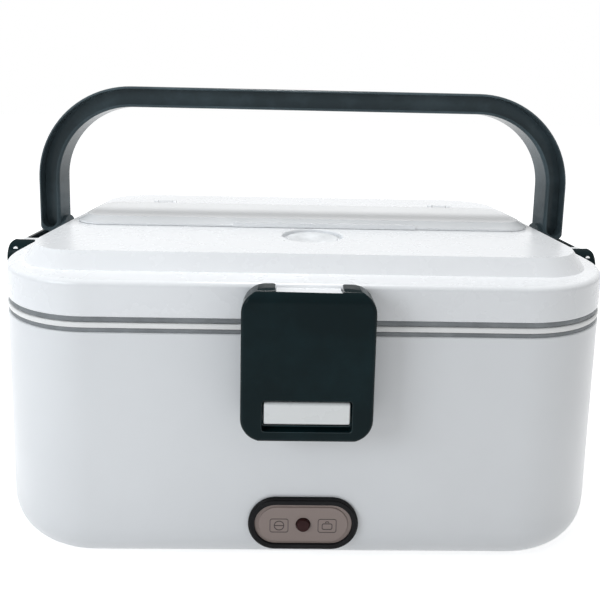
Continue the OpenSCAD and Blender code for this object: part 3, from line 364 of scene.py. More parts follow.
def woven_pad(name, base):
    """Woven fibre: two sets of threads that cross."""
    f = Finish(name)
    threads = []
    for across in ("X", "Y"):
        wave = f.node("ShaderNodeTexWave", wave_type="BANDS", bands_direction=across)
        wave.inputs["Scale"].default_value = 320.0
        wave.inputs["Distortion"].default_value = 1.4
        f.links.new(f.coords, wave.inputs["Vector"])
        threads.append(wave.outputs["Fac"])
    weave = f.times(*threads)
    f.tones(f.spread(weave, start=0.0, end=0.6), shade(base, 0.72), base)
    f.feed(Roughness=0.92)
    f.bump(weave, 0.6, 0.0003)
    return f.mat


def circuit(name, base):
    """A printed board with lighter tracks between its fields."""
    f = Finish(name)
    tracks = f.node("ShaderNodeTexBrick")
    tracks.inputs["Scale"].default_value = 150.0
    tracks.inputs["Mortar Size"].default_value = 0.018
    for socket, factor in (("Color1", 1.0), ("Color2", 0.85), ("Mortar", 2.2)):
        tracks.inputs[socket].default_value = (*shade(base, factor), 1.0)
    f.links.new(f.coords, tracks.inputs["Vector"])
    f.feed(Base_Color=tracks.outputs["Color"], Roughness=0.35)
    f.bump(tracks.outputs["Fac"], 0.3, 0.0001)
    return f.mat


def ceramic(name, base):
    """Fired ceramic, speckled and slightly rough."""
    f = Finish(name)
    speck = f.noise(700.0, 3.0, 0.7)
    f.tones(f.spread(speck, start=0.3, end=0.6), shade(base, 0.78), base)
    f.feed(Roughness=f.spread(f.noise(120.0), 0.45, 0.7))
    f.bump(speck, 0.3, 0.00008)
    return f.mat


def printed(name, base):
    """Ink with a slightly uneven tone."""
    f = Finish(name)
    f.tones(f.spread(f.noise(1800.0)), shade(base, 0.9), shade(base, 1.25))
    f.feed(Roughness=0.5)
    return f.mat


def paint(node, mat):
    """Gives a CAD part that keeps its own shape its finish."""
    data = frame["nodes"][node].data
    data.materials.clear()
    data.materials.append(mat)


# ---------------------------------------------------------------- mesh helpers

def to_object(name, mesh, mat=None):
    """A new object in the scene, with at most one material."""
    made = bpy.data.objects.new(name, mesh)
    bpy.context.scene.collection.objects.link(made)
    if mat:
        mesh.materials.clear()
        mesh.materials.append(mat)
    return made


def baked(obj):
    """Applies what the modifiers do and leaves a plain mesh."""
    bpy.context.view_layer.update()
    evaluated = obj.evaluated_get(bpy.context.evaluated_depsgraph_get())
    final = bpy.data.meshes.new_from_object(evaluated)
    obj.modifiers.clear()
    old, obj.data = obj.data, final
    bpy.data.meshes.remove(old)


def shaded(mesh, sharp):
    """Smooth shading that stays crisp where faces meet at more than the given angle."""
    mesh.shade_smooth()
    mesh.set_sharp_from_angle(angle=math.radians(sharp))


def body_of(node):
    return frame["nodes"][node]["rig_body"]


def stands_for(made, node):
    """Shows a piece in the place of a CAD part, on the part's body, and hides the part."""
    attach(made, body_of(node))
    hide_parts(node)


def merged(node):
    """A copy of a CAD part's mesh whose loose triangles are joined at their points."""
    bm = bmesh.new()
    bm.from_mesh(frame["nodes"][node].data)
    bmesh.ops.remove_doubles(bm, verts=bm.verts, dist=MERGE)
    return bm


def mesh_from(bm, name):
    """A plain mesh from one being put together, which is freed."""
    mesh = bpy.data.meshes.new(name)
    bm.to_mesh(mesh)
    bm.free()
    return mesh


def joined_flats(bm):
    """Joins flat neighbours across their longest edges first, so that what stays between rings is short."""
    for e in sorted(bm.edges, key=lambda e: -e.calc_length()):
        if not e.is_valid or len(e.link_faces) != 2:
            continue
        large, small = sorted(e.link_faces, key=lambda f: -f.calc_area())
        start, square = e.verts[0].co, large.normal
        off_plane = max(abs((v.co - start).dot(square)) for v in small.verts)
        folded_back = small.normal.dot(square) < 0.5
        if folded_back or off_plane > FLAT:
            continue
        common = [small in l.edge.link_faces for l in large.loops]
        if sum(here and not common[i - 1] for i, here in enumerate(common)) != 1:
            continue
        made = bmesh.utils.face_join((large, small))
        if made:
            made.normal_update()
    bmesh.ops.dissolve_limit(bm, angle_limit=FLAT_ANGLE, verts=bm.verts, edges=[])


def gap_between(p, q, a, b):
    """Shortest distance between the segments p-q and a-b, near enough for edges of one flat face."""
    near = []
    for point, start, end in ((p, a, b), (q, a, b), (a, p, q), (b, p, q)):
        line = end - start
        along = min(1.0, max(0.0, (point - start).dot(line) / max(line.length_squared, 1e-18)))
        near.append((point - start - line * along).length)
    return min(near)


def room_beside(edge, face, most):
    """How far a face reaches from its edge before it meets an edge that faces it."""
    p, q = edge.verts[0].co, edge.verts[1].co
    middle, half = (p + q) / 2, (q - p).length / 2
    inward = next(face.normal.cross(l.link_loop_next.vert.co - l.vert.co).normalized()
                  for l in face.loops if l.edge is edge)
    room = most
    for loop in face.loops:
        other = loop.edge
        a, b = loop.vert.co, loop.link_loop_next.vert.co
        if other is edge or ((a + b) / 2 - middle).length > half + (b - a).length / 2 + most:
            continue
        if any(v in edge.verts for v in other.verts):
            continue
        faces_it = inward.dot(face.normal.cross(b - a).normalized()) < 0.2
        if faces_it:
            room = min(room, gap_between(p, q, a, b))
    return room


def chains(edges):
    """Groups edges that run on from each other, so that a rounding keeps one width along each line."""
    left = set(edges)
    while left:
        line, open_ends = [], [left.pop()]
        while open_ends:
            e = open_ends.pop()
            line.append(e)
            for v in e.verts:
                onward = [o for o in v.link_edges if o in edges]
                if len(onward) == 2:
                    for o in onward:
                        if o in left:
                            left.remove(o)
                            open_ends.append(o)
        yield line


def pointed(v, hard):
    """True where facets of a curved surface run to a point at a line of hard edges."""
    for f in v.link_faces:
        beside = [e for e in f.edges if v in e.verts]
        if len(f.verts) == 3 and not any(e in hard for e in beside) and \
                max(e.calc_face_angle(0.0) for e in beside) > CURVED:
            return True
    return False


def softened(node, name, mat, edge, steps=2, rim=None):
    """A copy of a CAD part with its hard edges rounded, shown in the part's place; rim, where given, is a
    lighter finish on the roundings: a painted highlight.
    """
    bm = merged(node)
    bmesh.ops.dissolve_degenerate(bm, edges=bm.edges, dist=SLIVER)
    joined_flats(bm)
    weight = bm.edges.layers.float.new("bevel_weight_edge")
    hard = {e for e in bm.edges if len(e.link_faces) == 2 and e.calc_face_angle(0.0) > HARD_ANGLE}
    most = edge / ROUND_SHARE
    for line in chains(hard):
        crisp = any(pointed(v, hard) for e in line for v in e.verts)
        room = 0.0 if crisp else min(room_beside(e, f, most) for e in line for f in e.link_faces)
        for e in line:
            e[weight] = min(1.0, ROUND_SHARE * room / edge)
            e.smooth = not crisp
    mesh = mesh_from(bm, name)
    made = to_object(name, mesh, mat)
    for face in mesh.polygons:
        face.use_smooth = True
    bevel = made.modifiers.new("edges", "BEVEL")
    bevel.width = edge
    bevel.segments = steps
    bevel.limit_method = "WEIGHT"
    bevel.use_clamp_overlap = False
    bevel.miter_outer = "MITER_ARC"
    bevel.loop_slide = False
    # A rim finish makes the rounded edges lighter than the part: a painted highlight.
    if rim:
        mesh.materials.append(rim)
        bevel.material = 1
    normals = made.modifiers.new("normals", "WEIGHTED_NORMAL")
    normals.keep_sharp = True
    normals.weight = 60
    baked(made)
    stands_for(made, node)


class Tree:
    """A Geometry Nodes tree being put together, with named inputs for its sizes."""

    def __init__(self, name, *sizes):
        self.group = bpy.data.node_groups.new(name, "GeometryNodeTree")
        sockets = self.group.interface
        sockets.new_socket("Points", in_out="INPUT", socket_type="NodeSocketGeometry")
        for label in sizes:
            sockets.new_socket(label, in_out="INPUT", socket_type="NodeSocketFloat")
        sockets.new_socket("Finish", in_out="INPUT", socket_type="NodeSocketMaterial")
        sockets.new_socket("Geometry", in_out="OUTPUT", socket_type="NodeSocketGeometry")
        self.given = self.group.nodes.new("NodeGroupInput").outputs

    def add(self, kind, inputs, **values):
        """One node, its inputs linked or set, and what it gives."""
        made = self.group.nodes.new(kind)
        for key, value in values.items():
            setattr(made, key, value)
        for key, value in inputs.items():
            for one in value if isinstance(value, list) else [value]:
                if hasattr(one, "node"):
                    self.group.links.new(one, made.inputs[key])
                else:
                    made.inputs[key].default_value = one
        return made.outputs

    def math(self, operation, a, b=0.0):
        return self.add("ShaderNodeMath", {0: a, 1: b}, operation=operation)[0]

    def vector(self, x=0.0, y=0.0, z=0.0):
        return self.add("ShaderNodeCombineXYZ", {"X": x, "Y": y, "Z": z})[0]

    def raised(self, geometry, z):
        inputs = {"Geometry": geometry, "Translation": self.vector(z=z)}
        return self.add("GeometryNodeTransform", inputs)[0]

    def turned(self, sides, rings, radius, height, profile):
        """A closed turned form from z = 0 to its height; profile gives its share of the radius there."""
        sizes = {"Vertices": sides, "Side Segments": rings, "Radius": radius, "Depth": height}
        blank = self.add("GeometryNodeMeshCylinder", sizes)["Mesh"]
        at = self.add("ShaderNodeSeparateXYZ", {0: self.add("GeometryNodeInputPosition", {})[0]})
        share = profile(self.math("ADD", self.math("DIVIDE", at["Z"], height), 0.5))
        x, y = (self.math("MULTIPLY", at[axis], share) for axis in ("X", "Y"))
        place = self.vector(x, y, at["Z"])
        shaped = self.add("GeometryNodeSetPosition", {"Geometry": blank, "Position": place})[0]
        return self.raised(shaped, self.math("MULTIPLY", height, 0.5))

    def finish(self, form, tilt=0.0):
        """One form on each point, each turned by its own angle, as a plain mesh with its material."""
        full_turn = {"Max": 2 * math.pi, "Seed": SPIN_SEED}
        spin = self.add("FunctionNodeRandomValue", full_turn, data_type="FLOAT")
        angle = next(o for o in spin if o.type == "VALUE" and o.enabled)
        turn = self.add("FunctionNodeEulerToRotation", {"Euler": self.vector(tilt, 0.0, angle)})[0]
        on_points = {"Points": self.given["Points"], "Instance": form, "Rotation": turn}
        many = self.add("GeometryNodeInstanceOnPoints", on_points)[0]
        real = self.add("GeometryNodeRealizeInstances", {"Geometry": many})[0]
        dress = {"Geometry": real, "Material": self.given["Finish"]}
        dressed = self.add("GeometryNodeSetMaterial", dress)[0]
        self.group.links.new(dressed, self.group.nodes.new("NodeGroupOutput").inputs["Geometry"])
        return self.group


def screw_tree():
    """Pan head with a cross recess below z = 0, and a ringed shank above it."""
    t = Tree("Screw", "Head radius", "Head height", "Shank radius", "Length", "Tilt")
    wide, tall, thin, long = (t.given[k] for k in ("Head radius", "Head height", "Shank radius", "Length"))
    dome, arm_share, slot_share, recess_share = 0.45, 1.1, 0.26, 1.1
    rings, ring_depth, tip_from, tip_cut = 14, 0.14, 0.98, 0.3

    def crown(at):
        down = t.math("SUBTRACT", 1.0, at)
        fall = t.math("MULTIPLY", t.math("MULTIPLY", down, down), dome)
        return t.math("SQRT", t.math("SUBTRACT", 1.0, fall))

    def ringed(at):
        ring = t.math("MODULO", t.math("ROUND", t.math("MULTIPLY", at, float(rings))), 2.0)
        tip = t.math("MULTIPLY", t.math("GREATER_THAN", at, tip_from), tip_cut)
        return t.math("SUBTRACT", t.math("SUBTRACT", 1.0, t.math("MULTIPLY", ring, ring_depth)), tip)

    below = t.math("MULTIPLY", tall, -1.0)
    head = t.raised(t.turned(32, 6, wide, tall, crown), below)
    arm, slot = (t.math("MULTIPLY", wide, share) for share in (arm_share, slot_share))
    deep = t.math("MULTIPLY", tall, recess_share)
    cuts = []
    for x, y in ((arm, slot), (slot, arm)):
        bar = t.add("GeometryNodeMeshCube", {"Size": t.vector(x, y, deep)})["Mesh"]
        cuts.append(t.raised(bar, below))
    crossed = {"Mesh 1": head, "Mesh 2": cuts}
    head = t.add("GeometryNodeMeshBoolean", crossed, operation="DIFFERENCE")["Mesh"]
    shank = t.turned(16, rings, thin, long, ringed)
    whole = t.add("GeometryNodeJoinGeometry", {"Geometry": [head, shank]})[0]
    return t.finish(whole, t.given["Tilt"])


def foot_tree():
    """A round foot whose lower edge is rounded off."""
    t = Tree("Foot", "Radius", "Height")
    round_to, narrowing = 0.36, 0.9

    def rounded(at):
        short = t.math("MAXIMUM", t.math("SUBTRACT", round_to, at), 0.0)
        return t.math("SUBTRACT", 1.0, t.math("MULTIPLY", t.math("MULTIPLY", short, short), narrowing))

    return t.finish(t.turned(64, 12, t.given["Radius"], t.given["Height"], rounded))


def solids_of(node):
    """The separate solids of a CAD part, each as a list of its points."""
    bm = merged(node)
    left, found = set(bm.verts), []
    while left:
        group, open_ends = [], [left.pop()]
        while open_ends:
            v = open_ends.pop()
            group.append(v.co.copy())
            for o in (e.other_vert(v) for e in v.link_edges):
                if o in left:
                    left.remove(o)
                    open_ends.append(o)
        found.append(group)
    bm.free()
    return found


def halfway(values):
    return (min(values) + max(values)) / 2


def measured_foot(points):
    """Where a CAD foot stands, and its sizes."""
    x, y, z = ([p[i] for p in points] for i in range(3))
    sizes = {"Radius": (max(x) - min(x)) / 2, "Height": max(z) - min(z)}
    return (halfway(x), halfway(y), min(z)), sizes


def measured_screw(points):
    """Where a CAD screw's head is seated, and its sizes."""
    head_share = 0.95                 # points further out than this share belong to the head
    same_height = 1e-5
    x, y = (halfway([p[i] for p in points]) for i in (0, 1))
    reach = [(math.hypot(p.x - x, p.y - y), p.z) for p in points]
    heights = [z for r, z in reach]
    radius, low, high = max(reach)[0], min(heights), max(heights)
    head = [z for r, z in reach if r > radius * head_share]
    points_up = high - max(head) > min(head) - low
    seat, end = (max(head), high) if points_up else (min(head), low)
    sizes = {
        "Head radius": radius,
        "Head height": max(head) - min(head),
        "Shank radius": max(r for r, z in reach if abs(z - end) < same_height),
        "Length": abs(end - seat),
        "Tilt": 0.0 if points_up else math.pi,
    }
    return (x, y, seat), sizes


def grown(node, name, tree, measured, mat):
    """A tree's form on each solid of a CAD part, shown in its place; the solids are alike, and sorted."""
    measures = sorted((measured(points) for points in solids_of(node)), key=lambda m: m[0])
    sizes = measures[-1][1]
    mesh = bpy.data.meshes.new(name)
    mesh.from_pydata([place for place, _ in measures], [], [])
    made = to_object(name, mesh)
    modifier = made.modifiers.new("nodes", "NODES")
    modifier.node_group = tree
    values = {**sizes, "Finish": mat}
    for item in tree.interface.items_tree:
        if item.in_out == "INPUT" and item.name in values:
            modifier[item.identifier] = values[item.name]
    baked(made)
    shaded(made.data, GROWN_CREASE)
    stands_for(made, node)


def outline_strip(bm, points, width, closed=True):
    """A flat line of the given width along points in the XZ plane, both sides of the path."""
    no_length = 1e-9                  # a step shorter than this has no direction
    sharpest = 0.35                   # keeps the line's corners from running out to a spike
    count = len(points)
    rails = []
    for i, p in enumerate(points):
        before = points[i - 1] if closed or i > 0 else p
        after = points[(i + 1) % count] if closed or i < count - 1 else p
        d1, d2 = p - before, after - p
        d1 = d1.normalized() if d1.length > no_length else d2.normalized()
        d2 = d2.normalized() if d2.length > no_length else d1
        n1, n2 = Vector((-d1.y, d1.x)), Vector((-d2.y, d2.x))
        n = (n1 + n2).normalized()
        reach = width / 2 / max(sharpest, n.dot(n1))
        rails.append((bm.verts.new((p.x + n.x * reach, 0.0, p.y + n.y * reach)),
                      bm.verts.new((p.x - n.x * reach, 0.0, p.y - n.y * reach))))
    last = count if closed else count - 1
    for i in range(last):
        a, b = rails[i], rails[(i + 1) % count]
        bm.faces.new((a[0], a[1], b[1], b[0]))


def arc(cx, cy, r, start, sweep, steps, whole=False):
    """Points on an arc, in degrees; a whole circle leaves its last point to its first."""
    angles = (math.radians(start + sweep * k / steps) for k in range(steps if whole else steps + 1))
    return [Vector((cx + r * math.cos(a), cy + r * math.sin(a))) for a in angles]


def round_box(cx, cy, w, h, r, steps=6):
    """The outline of a box with round corners, from the upper right one round."""
    points = []
    for sx, sy, start in ((1, 1, 0), (-1, 1, 90), (-1, -1, 180), (1, -1, 270)):
        points += arc(cx + sx * (w / 2 - r), cy + sy * (h / 2 - r), r, start, 90, steps)
    return points


def circle(cx, cy, r):
    return arc(cx, cy, r, 0, 360, 36, whole=True)


def thickened(bm, y, thick):
    """Places flat faces on the plane at y and gives them a thickness towards -Y."""
    bmesh.ops.translate(bm, verts=bm.verts, vec=(0.0, y, 0.0))
    made = bmesh.ops.extrude_face_region(bm, geom=bm.faces[:])
    front = [g for g in made["geom"] if isinstance(g, bmesh.types.BMVert)]
    bmesh.ops.translate(bm, verts=front, vec=(0.0, -thick, 0.0))
    bmesh.ops.recalc_face_normals(bm, faces=bm.faces)
    # the extrusion leaves its faces in no fixed order
    for rank, face in enumerate(sorted(bm.faces, key=lambda f: tuple(f.calc_center_median()))):
        face.index = rank
    bm.faces.sort()


class PieceOperator(bpy.types.Operator):
    """A step that makes a piece, or a group of like pieces."""
    bl_options = {"REGISTER", "UNDO"}

    def settings(self, key):
        return getattr(bpy.context.scene, "lunch_box_" + key)


# ---------------------------------------------------------------- operators

class LUNCHBOX_OT_body(PieceOperator):
    """Body shell, bottom cover and feet"""
    bl_idname, bl_label = "lunchbox.body", "Body"

    def execute(self, context):
        s = self.settings("shell")
        softened("outer_shell", "body_shell", moulded("Body plastic", s.body, rough=0.30), s.edge, 3)
        below = moulded("Underside plastic", s.underside, rough=0.5, grain=0.8)
        softened("bottom_cover", "underside", below, SMALL_EDGE)
        grown("rubber_feet", "feet", foot_tree(), measured_foot, rubbery("Foot rubber", RUBBER))
        return {"FINISHED"}


class LUNCHBOX_OT_lid(PieceOperator):
    """Lid shell, lining and seal"""
    bl_idname, bl_label = "lunchbox.lid", "Lid"

    def execute(self, context):
        s = self.settings("shell")
        softened("lid_shell", "lid", moulded("Lid plastic", s.lid, rough=0.27), s.edge * 1.5, 3)
        lining = moulded("Lining plastic", s.lining, rough=0.35, grain=0.2)
        softened("lid_inner_panel", "lid_lining", lining, PLAIN_EDGE)
        softened("inner_liner", "body_lining", lining, PLAIN_EDGE)
        softened("lid_seal", "seal", rubbery("Seal silicone", SEAL, 0.5), TINY_EDGE)
        # The vent plug's grey is the silicone's tone, with the shade of the vent's dish painted into it.
        softened("vent_plug", "vent", rubbery("Vent silicone and painted shade", VENT, 0.42), SMALL_EDGE)
        return {"FINISHED"}


class LUNCHBOX_OT_seam(PieceOperator):
    """Grey bands in the groove of the body and under the lid's rim: painted shade, the one under the lid
    also in the seal's own grey
    """
    bl_idname, bl_label = "lunchbox.seam", "Seam bands"

    def execute(self, context):
        s = self.settings("seam")
        # Both bands are painted shade; the one under the lid also carries the seal's own grey.
        grey = rubbery("Band painted shade and seal", s.tone, 0.55)
        self.band("seam_band_body", s, s.body_low, s.body_high, "outer_shell", "lid_seal", grey)
        self.band("seam_band_lid", s, s.lid_low, s.lid_high, "lid_seal", "lid_seal", grey)
        return {"FINISHED"}

    def band(self, name, s, low, high, carrier, finish, mat):
        """A ring with a softly crowned outer face, between two heights."""
        crown = 0.18                  # share of the height that the rounding of each edge takes
        soft = (high - low) * crown
        near = s.outer + soft * 0.3
        section = ((s.inner, low), (s.outer + soft, low), (near, low + soft * 0.4),
                   (s.outer, low + soft * 1.6), (s.outer, high - soft * 1.6),
                   (near, high - soft * 0.4), (s.outer + soft, high), (s.inner, high))
        bm = bmesh.new()
        rings = []
        for inset, z in section:
            path = round_box(0.0, 0.0, s.width - 2 * inset, s.depth - 2 * inset, s.corner - inset, 20)
            rings.append([bm.verts.new((p.x, p.y, z)) for p in path])
        for i, ring in enumerate(rings):
            after = rings[(i + 1) % len(rings)]
            for k in range(len(ring)):
                n = (k + 1) % len(ring)
                bm.faces.new((ring[k], ring[n], after[n], after[k]))
        bmesh.ops.recalc_face_normals(bm, faces=bm.faces)
        mesh = mesh_from(bm, name)
        made = to_object(name, mesh, mat)
        shaded(mesh, BAND_CREASE)
        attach(made, body_of(carrier))


class LUNCHBOX_OT_cutlery_cover(PieceOperator):
    """Clear cover of the cutlery well"""
    bl_idname, bl_label = "lunchbox.cutlery_cover", "Cutlery cover"

    def execute(self, context):
        softened("cutlery_cover", "clear_cover", clear_moulding("Clear plastic", CLEAR), COVER_EDGE, 3)
        return {"FINISHED"}


class LUNCHBOX_OT_handle(PieceOperator):
    """Carry handle"""
    bl_idname, bl_label = "lunchbox.handle", "Handle"

    def execute(self, context):
        s = self.settings("trim")
        gloss = dark_gloss("Handle gloss plastic", s.grip, 0.12)
        # A lighter copy of the handle's gloss on the rounded edges, with a stronger sheen: a painted
        # highlight.
        rim = dark_gloss("Handle rim painted highlight", shade(s.grip, 2.2), 0.9, 0.2)
        softened("carry_handle", "handle", gloss, s.handle_edge, 4, rim)
        return {"FINISHED"}


class LUNCHBOX_OT_latches(PieceOperator):
    """Front latch with its press bar, and the two side latches"""
    bl_idname, bl_label = "lunchbox.latches", "Latches"

    def execute(self, context):
        s = self.settings("trim")
        # A lighter copy of the latch gloss on the rounded edges, with a stronger sheen: a painted highlight.
        rim = dark_gloss("Latch rim painted highlight", shade(s.dark, 3.4), 0.7, 0.15)
        gloss = dark_gloss("Dark gloss plastic", s.dark)
        for side in ("front", "left", "right"):
            softened(side + "_latch", "latch_" + side, gloss, s.latch_edge, 3, rim)
        pale = moulded("Press bar plastic", s.button, rough=0.28)
        softened("press_bar", "latch_press_bar", pale, SMALL_EDGE, 3)
        return {"FINISHED"}


class LUNCHBOX_OT_lamp_panel(PieceOperator):
    """Bezel, fascia, lamp and the two printed signs"""
    bl_idname, bl_label = "lunchbox.lamp_panel", "Lamp panel"

    def execute(self, context):
        s = self.settings("panel")
        softened("lamp_bezel", "panel_ring", dark_gloss("Ring plastic", RING), PLAIN_EDGE, 3)
        softened("lamp_fascia", "panel_face", moulded("Fascia plastic", s.fascia, rough=0.42), TINY_EDGE)
        softened("indicator_lamp", "panel_lamp", dark_gloss("Lamp lens", s.lamp), TINY_EDGE)
        self.signs(s)
        return {"FINISHED"}

    def signs(self, s):
        """Left a bar across a circle, right a small pot, each in a thin box."""
        low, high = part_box("lamp_fascia")
        z = (low.z + high.z) / 2 - 0.0004
        aside, box_w, box_h, box_r = 0.0088, 0.0066, 0.0052, 0.0008
        pot_w, pot_h, pot_r, pot_drop = 0.0036, 0.0022, 0.0006, 0.0003
        ring, thick = 0.00175, 0.00006
        lug = ((-0.0007, 0.0012), (-0.0004, 0.0016), (0.0004, 0.0016), (0.0007, 0.0012))
        bm = bmesh.new()
        for x in (-aside, aside):
            outline_strip(bm, round_box(x, z, box_w, box_h, box_r), s.line * 0.8)
        outline_strip(bm, circle(-aside, z, ring), s.line)
        bar = [Vector((x - aside, z)) for x in (-ring, 0.0, ring)]
        outline_strip(bm, bar, s.line, closed=False)
        outline_strip(bm, round_box(aside, z - pot_drop, pot_w, pot_h, pot_r), s.line)
        outline_strip(bm, [Vector((aside + x, z + up)) for x, up in lug], s.line, closed=False)
        thickened(bm, low.y, thick)
        made = to_object("panel_signs", mesh_from(bm, "panel_signs"), printed("Panel print", s.mark))
        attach(made, body_of("lamp_fascia"))


class LUNCHBOX_OT_rear(PieceOperator):
    """Power inlet with its pins, and the hinge pins"""
    bl_idname, bl_label = "lunchbox.rear", "Rear fittings"

    def execute(self, context):
        softened("power_inlet", "inlet", moulded("Inlet plastic", INLET, rough=0.45), SMALL_EDGE)
        paint("inlet_contacts", brushed("Contact brass", BRASS, 0.25, "y"))
        steel = brushed("Pin steel", PIN_STEEL, 0.24)
        for node in ("rear_hinge_pins", "front_latch_pin", "handle_pins", "cover_hinge_pins",
                     "left_latch_pins", "right_latch_pins"):
            paint(node, steel)
        return {"FINISHED"}


class LUNCHBOX_OT_heating(PieceOperator):
    """Tray, heating plate and what sits under it"""
    bl_idname, bl_label = "lunchbox.heating", "Heating"

    def execute(self, context):
        plate = brushed("Plate aluminium", PLATE_ALUMINIUM, 0.42, "y", line=500.0)
        shield = brushed("Shield aluminium", SHIELD_ALUMINIUM, 0.3, line=400.0)
        black = moulded("Heat-proof moulding", HEAT_PROOF, rough=0.5)
        softened("steel_tray", "tray", brushed("Tray steel", TRAY_STEEL, 0.24), SMALL_EDGE)
        softened("heating_plate", "plate", plate, SMALL_EDGE)
        softened("heater_block", "heater", ceramic("Heater jacket", HEATER_JACKET), PLAIN_EDGE)
        softened("heater_clamp", "clamp", brushed("Clamp steel", CLAMP_STEEL, 0.35), FINE_EDGE)
        softened("heat_shield", "shield", shield, FINE_EDGE)
        softened("thermal_fuse", "fuse", ceramic("Fuse ceramic", FUSE), FINE_EDGE)
        softened("thermostat", "thermostat_case", black, FINE_EDGE)
        softened("lamp_holder", "lamp_socket", black, FINE_EDGE)
        softened("terminal_block", "terminals", moulded("Terminal plastic", TERMINAL, rough=0.35), TINY_EDGE)
        paint("insulation_pad", woven_pad("Glass-fibre pad", GLASS_FIBRE))
        paint("circuit_board", circuit("Circuit board", BOARD))
        paint("lead_wires", rubbery("Wire sleeve", WIRE, 0.4))
        return {"FINISHED"}


class LUNCHBOX_OT_screws(PieceOperator):
    """All the screws"""
    bl_idname, bl_label = "lunchbox.screws", "Screws"

    def execute(self, context):
        zinc = brushed("Zinc plate", ZINC, 0.3)
        tree = screw_tree()
        for kind in ("base", "board", "clamp", "shield", "lid"):
            grown(kind + "_screws", kind + "_fixings", tree, measured_screw, zinc)
        return {"FINISHED"}


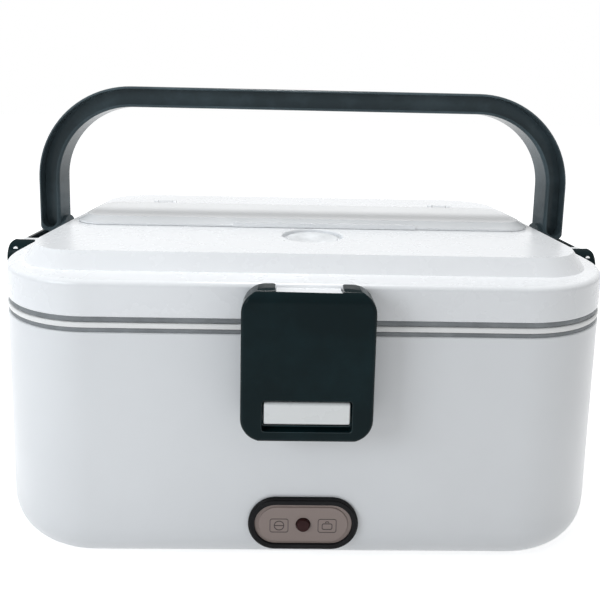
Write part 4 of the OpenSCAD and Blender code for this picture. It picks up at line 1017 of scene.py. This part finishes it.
class LUNCHBOX_OT_stage(PieceOperator):
    """Floor, light and camera"""
    bl_idname, bl_label = "lunchbox.stage", "Stage"

    def execute(self, context):
        s = self.settings("stage")
        context.scene.view_settings.view_transform = "Standard"
        self.floor()
        self.sky(s)
        self.lamp("overhead", place=(0.0, 0.15, 1.15), target=(0.0, 0.0, 0.1),
                  size=0.24, power=s.top, tint=NEUTRAL)
        self.lamp("front_left", place=(-0.46, -0.40, 0.30), target=(-0.05, -0.06, 0.08),
                  size=0.26, power=s.left, tint=COOL)
        self.lamp("front_right", place=(0.9, -0.7, 0.30), target=(0.0, -0.05, 0.08),
                  size=0.5, power=s.right, tint=WARM)
        self.camera(s)
        return {"FINISHED"}

    def floor(self):
        """A wide white floor that takes the object's shadow and shows as plain white elsewhere."""
        reach = 6.0
        mesh = bpy.data.meshes.new("floor")
        corners = [(x * reach, y * reach, 0.0) for x, y in ((-1, -1), (1, -1), (1, 1), (-1, 1))]
        mesh.from_pydata(corners, [], [(0, 1, 2, 3)])
        f = Finish("Floor")
        f.feed(Base_Color=FLOOR, Roughness=0.9, Specular_IOR_Level=0.1)
        power = f.node("ShaderNodeMath", operation="MULTIPLY")
        power.inputs[1].default_value = FLOOR_GLOW
        glow = f.node("ShaderNodeEmission")
        both = f.node("ShaderNodeAddShader")
        f.links.new(f.seen(), power.inputs[0])
        f.links.new(power.outputs[0], glow.inputs["Strength"])
        f.links.new(f.shader.outputs[0], both.inputs[0])
        f.links.new(glow.outputs[0], both.inputs[1])
        f.links.new(both.outputs[0], f.nodes["Material Output"].inputs["Surface"])
        to_object("floor", mesh, f.mat)

    def sky(self, s):
        """White where it is seen, and a soft even light on everything else."""
        world = bpy.data.worlds.new("sky")
        world.use_nodes = True
        bpy.context.scene.world = world
        t = ShaderTree(world.node_tree)
        lit = t.nodes["Background"]
        lit.inputs["Color"].default_value = (*EVEN_LIGHT, 1.0)
        lit.inputs["Strength"].default_value = s.sky
        white = t.node("ShaderNodeBackground")
        white.inputs["Color"].default_value = (1.0, 1.0, 1.0, 1.0)
        mix = t.node("ShaderNodeMixShader")
        t.links.new(t.seen(), mix.inputs["Fac"])
        t.links.new(lit.outputs[0], mix.inputs[1])
        t.links.new(white.outputs[0], mix.inputs[2])
        t.links.new(mix.outputs[0], t.nodes["World Output"].inputs["Surface"])

    def lamp(self, name, place, target, size, power, tint):
        """A square soft lamp that faces its target."""
        data = bpy.data.lights.new(name, "AREA")
        data.shape, data.size = "SQUARE", size
        data.energy, data.color = power, tint
        made = bpy.data.objects.new(name, data)
        made.location = place
        towards = Vector(target) - Vector(place)
        made.rotation_euler = towards.to_track_quat("-Z", "Y").to_euler()
        bpy.context.scene.collection.objects.link(made)

    def camera(self, s):
        """Looks along +Y where its turns are zero."""
        data = bpy.data.cameras.new("camera")
        data.lens, data.sensor_width, data.shift_y = s.lens, SENSOR_WIDTH, s.shift
        data.clip_start, data.clip_end = 0.01, 50.0
        pitch, roll, yaw = (math.radians(v) for v in s.turn)
        turn = Matrix.Rotation(yaw, 3, "Z") @ Matrix.Rotation(pitch, 3, "X") @ Matrix.Rotation(roll, 3, "Y")
        right, ahead, up = turn.col
        cam = bpy.data.objects.new("camera", data)
        bpy.context.scene.collection.objects.link(cam)
        aim = Matrix((right, up, -ahead)).transposed().to_4x4()
        cam.matrix_world = Matrix.Translation(s.place) @ aim
        bpy.context.scene.camera = cam


# ---------------------------------------------------------------- panel

ORDER = (
    LUNCHBOX_OT_body, LUNCHBOX_OT_lid, LUNCHBOX_OT_seam, LUNCHBOX_OT_cutlery_cover,
    LUNCHBOX_OT_handle, LUNCHBOX_OT_latches, LUNCHBOX_OT_lamp_panel, LUNCHBOX_OT_rear,
    LUNCHBOX_OT_heating, LUNCHBOX_OT_screws, LUNCHBOX_OT_stage,
)
SETTINGS = (
    ("shell", ShellSettings),
    ("seam", SeamSettings),
    ("trim", TrimSettings),
    ("panel", PanelSettings),
    ("stage", StageSettings),
)


class LUNCHBOX_PT_sidebar(bpy.types.Panel):
    """Sizes, colours and the steps of the lunch box"""
    bl_idname, bl_label = "LUNCHBOX_PT_sidebar", "Lunch Box"
    bl_space_type, bl_region_type, bl_category = "VIEW_3D", "UI", "Lunch Box"

    def draw(self, context):
        for key, group in SETTINGS:
            box = self.layout.box()
            box.label(text=key.capitalize())
            for name in group.__annotations__:
                box.prop(getattr(context.scene, "lunch_box_" + key), name)
        for operator in ORDER:
            self.layout.operator(operator.bl_idname)


def register():
    for key, group in SETTINGS:
        bpy.utils.register_class(group)
        setattr(bpy.types.Scene, "lunch_box_" + key, PointerProperty(type=group))
    for cls in (*ORDER, LUNCHBOX_PT_sidebar):
        bpy.utils.register_class(cls)


def unregister():
    for cls in reversed((*ORDER, LUNCHBOX_PT_sidebar)):
        bpy.utils.unregister_class(cls)
    for key, group in reversed(SETTINGS):
        delattr(bpy.types.Scene, "lunch_box_" + key)
        bpy.utils.unregister_class(group)


def main():
    register()
    for operator in ORDER:
        group, name = operator.bl_idname.split(".")
        getattr(getattr(bpy.ops, group), name)()


if __name__ == "__main__":
    main()
